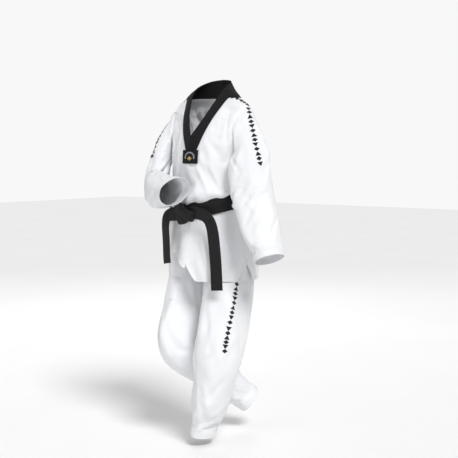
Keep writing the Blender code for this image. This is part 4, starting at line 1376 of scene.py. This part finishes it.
def tail(label, route, facing_end, split, motion_arm, motion_tail, curl_wave, material):
    """One end of the belt: out of the knot, over and down, as an arm and a hanging tail."""
    centre = curve_points(route, 91)
    step = unit(np.gradient(centre, axis=0))
    share = np.linspace(0.0, 1.0, len(centre))[:, None]
    facing = unit(mix(FORWARD, np.array(facing_end), smooth(share / 0.5)))
    across = unit(np.cross(facing, step))
    normal = unit(np.cross(step, across))
    if float((normal * facing).sum()) < 0.0:
        normal = -normal
    run = run_along(centre)
    centre = centre + normal * (curl_wave * np.sin(run / run[-1] * 2.0 * pi * 1.3))[:, None] * share
    cut = int(np.argmin(np.abs(centre[:, 2] - split) + (share[:, 0] < 0.2)))
    parts = []
    for name, rows in ((f"belt_arm_{label}", slice(0, cut + 1)),
                       (f"belt_tail_{label}_cloth", slice(cut, None))):
        parts.append(ribbon(name, centre[rows], across[rows], normal[rows], material, curl=0.0012))
    (arm, _), (hang, length) = parts
    finish_piece(arm, "black_cloth", (f"knot_arm_{label}",), blend=motion_arm)
    finish_piece(hang, "black_cloth", (f"belt_tail_{label}",), blend=motion_tail)


def belt(material):
    belt_turn("belt_inner_turn_cloth", 0.0046, BELT_SHIFT, "belt_inner_turn", material)
    belt_turn("belt_outer_turn_cloth", 0.0088, -BELT_SHIFT, "belt_outer_turn", material)
    under = hug("knot_wrap", -20.0, 0.0370, 0.0150, 0.050, (-122.0, 122.0), 0.0060, material,
                offset=(-0.012, 0.0, -0.005))
    finish_piece(under, "black_cloth", ("knot_core",), ride="torso")
    over = hug("knot_crossing", -64.0, 0.0430, 0.0200, 0.040, (-98.0, 98.0), 0.0050, material,
               offset=(0.008, 0.0, 0.002))
    finish_piece(over, "black_cloth", ride="torso")
    tail("left", LEFT_TAIL_ROUTE, (0.34, -0.93, 0.0), -0.462,
         ("torso", "front_flap", (0.040, -0.160, -0.433), (0.106, -0.160, -0.452)),
         ("front_flap", "left_tail", (0.112, -0.160, -0.464), (0.122, -0.160, -0.510)), 0.0030, material)
    tail("right", RIGHT_TAIL_ROUTE, (-0.22, -0.97, 0.0), -0.474,
         ("torso", "front_flap", (-0.040, -0.165, -0.437), (-0.082, -0.172, -0.460)),
         ("front_flap", "right_tail", (-0.084, -0.174, -0.476), (-0.083, -0.176, -0.520)), 0.0030, material)


# ---------------------------------------------------------------- slit facings
def slit_facing(name, surface, turn, opens, bottom, node, material, motion):
    """Doubled cloth stitched over one edge of a slit, ending just above the slit's top."""
    step = np.linspace(-FACING_HALF, FACING_HALF, 9)[None]
    lowest = np.maximum(bottom, hem_z(turn + step if turn < 0.0 else 1.0 + 0.0 * step) + 0.0015)
    z = mix(SLIT_TOP_Z + 0.014, lowest, np.linspace(0.0, 1.0, 26)[:, None])
    below = np.maximum(SLIT_TOP_Z - z, 0.0) / (SLIT_TOP_Z - HEM_Z)
    points = torso_points(turn + step + below * opens, z + 0.0 * step, 0.004)
    grid, normals = lay_on(surface.tree(), points, 0.0009)
    side = np.minimum(step + FACING_HALF, FACING_HALF - step)
    grid = faced(grid - normals * (0.0005 * bump_at(side, 0.5, 0.22))[..., None], normals)
    made = one_sheet(grid).shell(name, material, thick=0.0010)
    finish_piece(made, "white_cloth", (node,), blend=motion)


def slit_facings(front, back, cotton):
    side = SLIT_TURN - SLIT_EDGE
    hem = HEM_Z + 0.002
    for label, surface, turn, opens, bottom, motion in (
            ("front_left", front, 2.4, FRONT_SLIT_OPEN, hem, FRONT_MOTION),
            ("front_right", front, -2.4, 0.0, float(hem_z(-2.4)) + 0.002, FRONT_MOTION),
            ("side_left", front, side - 2.0, -SIDE_SLIT_OPEN, hem, FRONT_MOTION),
            ("back_left", back, SLIT_TURN + 2.4, BACK_SLIT_OPEN, hem, BACK_MOTION),
            ("back_right", back, 360.0 - SLIT_TURN - 2.4, 0.0, hem, BACK_MOTION)):
        slit_facing(f"slit_facing_{label}", surface, turn, opens, bottom, f"slit_tape_{label}", cotton,
                    motion)


# ---------------------------------------------------------------- floor, lights, camera
def floor():
    mesh = bpy.data.meshes.new("floor")
    size = 14.0
    mesh.from_pydata([(-size, -size, FLOOR_Z), (size, -size, FLOOR_Z), (size, size, FLOOR_Z),
                      (-size, size, FLOOR_Z)], [], [(0, 1, 2, 3)])
    made = link(bpy.data.objects.new("floor", mesh))
    paper, tree, shader = new_material("floor_paper", 0.9, 0.0)
    place, _ = position_nodes(tree, "Object")
    paint(tree, shader, noise(tree, place, 1.5, 2.0), (0.90, 0.90, 0.90), (0.92, 0.92, 0.92))
    mesh.materials.append(paper)


def lamp(name, kind, place, power, **shape):
    """A lamp aimed at the uniform's middle."""
    light = bpy.data.lights.new(name, kind)
    light.energy = power
    for setting, value in shape.items():
        setattr(light, setting, value)
    made = link(bpy.data.objects.new(name, light))
    made.location = place
    aim = Vector((0.0, 0.0, -0.6)) - Vector(place)
    made.rotation_euler = aim.to_track_quat("-Z", "Y").to_euler()


def studio():
    """White surroundings that light the cloth less than they show, and a key from the viewer's right."""
    scene = bpy.context.scene
    scene.view_settings.view_transform = "Standard"
    world = bpy.data.worlds.new("studio")
    world.use_nodes = True
    tree = world.node_tree
    back = tree.nodes["Background"]
    back.inputs["Color"].default_value = (1.0, 1.0, 1.0, 1.0)
    path = tree.nodes.new("ShaderNodeLightPath")
    strength = math_node(tree, "MULTIPLY_ADD", path.outputs["Is Camera Ray"], BACKDROP - AMBIENT)
    strength.node.inputs[2].default_value = AMBIENT
    tree.links.new(strength, back.inputs["Strength"])
    scene.world = world
    lamp("key", "SUN", (3.0, -1.6, 3.0), 2.25, angle=0.35)
    lamp("fill", "AREA", (-0.4, -3.8, -0.5), 20.0, size=2.4)
    lamp("back", "AREA", (-2.4, 2.6, 1.8), 30.0, size=1.8)


def camera():
    lens = bpy.data.cameras.new("camera")
    lens.lens = CAMERA_LENS
    lens.sensor_width = 36.0
    made = link(bpy.data.objects.new("camera", lens))
    made.location = CAMERA_PLACE
    yaw, pitch = radians(CAMERA_TURN), radians(CAMERA_TILT)
    forward = Vector((-sin(yaw) * cos(pitch), cos(yaw) * cos(pitch), -sin(pitch)))
    made.rotation_euler = forward.to_track_quat("-Z", "Y").to_euler()
    bpy.context.scene.camera = made


# ---------------------------------------------------------------- the uniform
def main():
    camera()
    cotton = white_cotton()
    black = black_cotton()
    belt_black = belt_cotton()
    grey = thread("grey_thread", (0.16, 0.17, 0.18), (0.34, 0.35, 0.37))
    gold = thread("gold_thread", (0.38, 0.25, 0.07), (0.72, 0.52, 0.18), 0.2)
    ink = thread("black_thread", (0.003, 0.003, 0.004), (0.014, 0.014, 0.016))

    jacket = jacket_surface()
    cloth_piece("jacket_body", jacket, cotton, ("jacket_front", "jacket_back"), "hung",
                ["neckband_cloth"], ride="torso")
    arms = sleeves(cotton)
    front, back = skirt_surfaces()
    cloth_piece("skirt_front_cloth", front, cotton, ("skirt_front_left", "skirt_front_right"), "hung",
                ["belt_inner_turn_cloth"], tags=(0, 1), blend=FRONT_MOTION)
    cloth_piece("skirt_back_cloth", back, cotton, ("skirt_back",), "hung",
                ["belt_inner_turn_cloth"], blend=BACK_MOTION)
    slit_facings(front, back, cotton)
    legs = trousers(cotton)
    waistband(cotton)
    elastic = ribbed_elastic()
    for material_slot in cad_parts["waist_elastic"].material_slots:
        material_slot.material = elastic
    neckband(black)
    label_tab(black, grey, gold)
    belt(belt_black)

    leg, thigh_motion, shin_motion = legs["left"]
    sewn_to = {"jacket": (jacket, {"ride": "torso"}),
               "left sleeve": (arms["left"][0], {"blend": arms["left"][1]}),
               "right sleeve": (arms["right"][0], {"blend": arms["right"][1]}),
               "left thigh": (leg, {"blend": thigh_motion}),
               "left shin": (leg, {"blend": shin_motion})}
    for name, place, count, guides in MARKS:
        surface, motion = sewn_to[place]
        marks("marks_" + name, surface, guides, count, ink, **motion)

    floor()
    studio()


main()
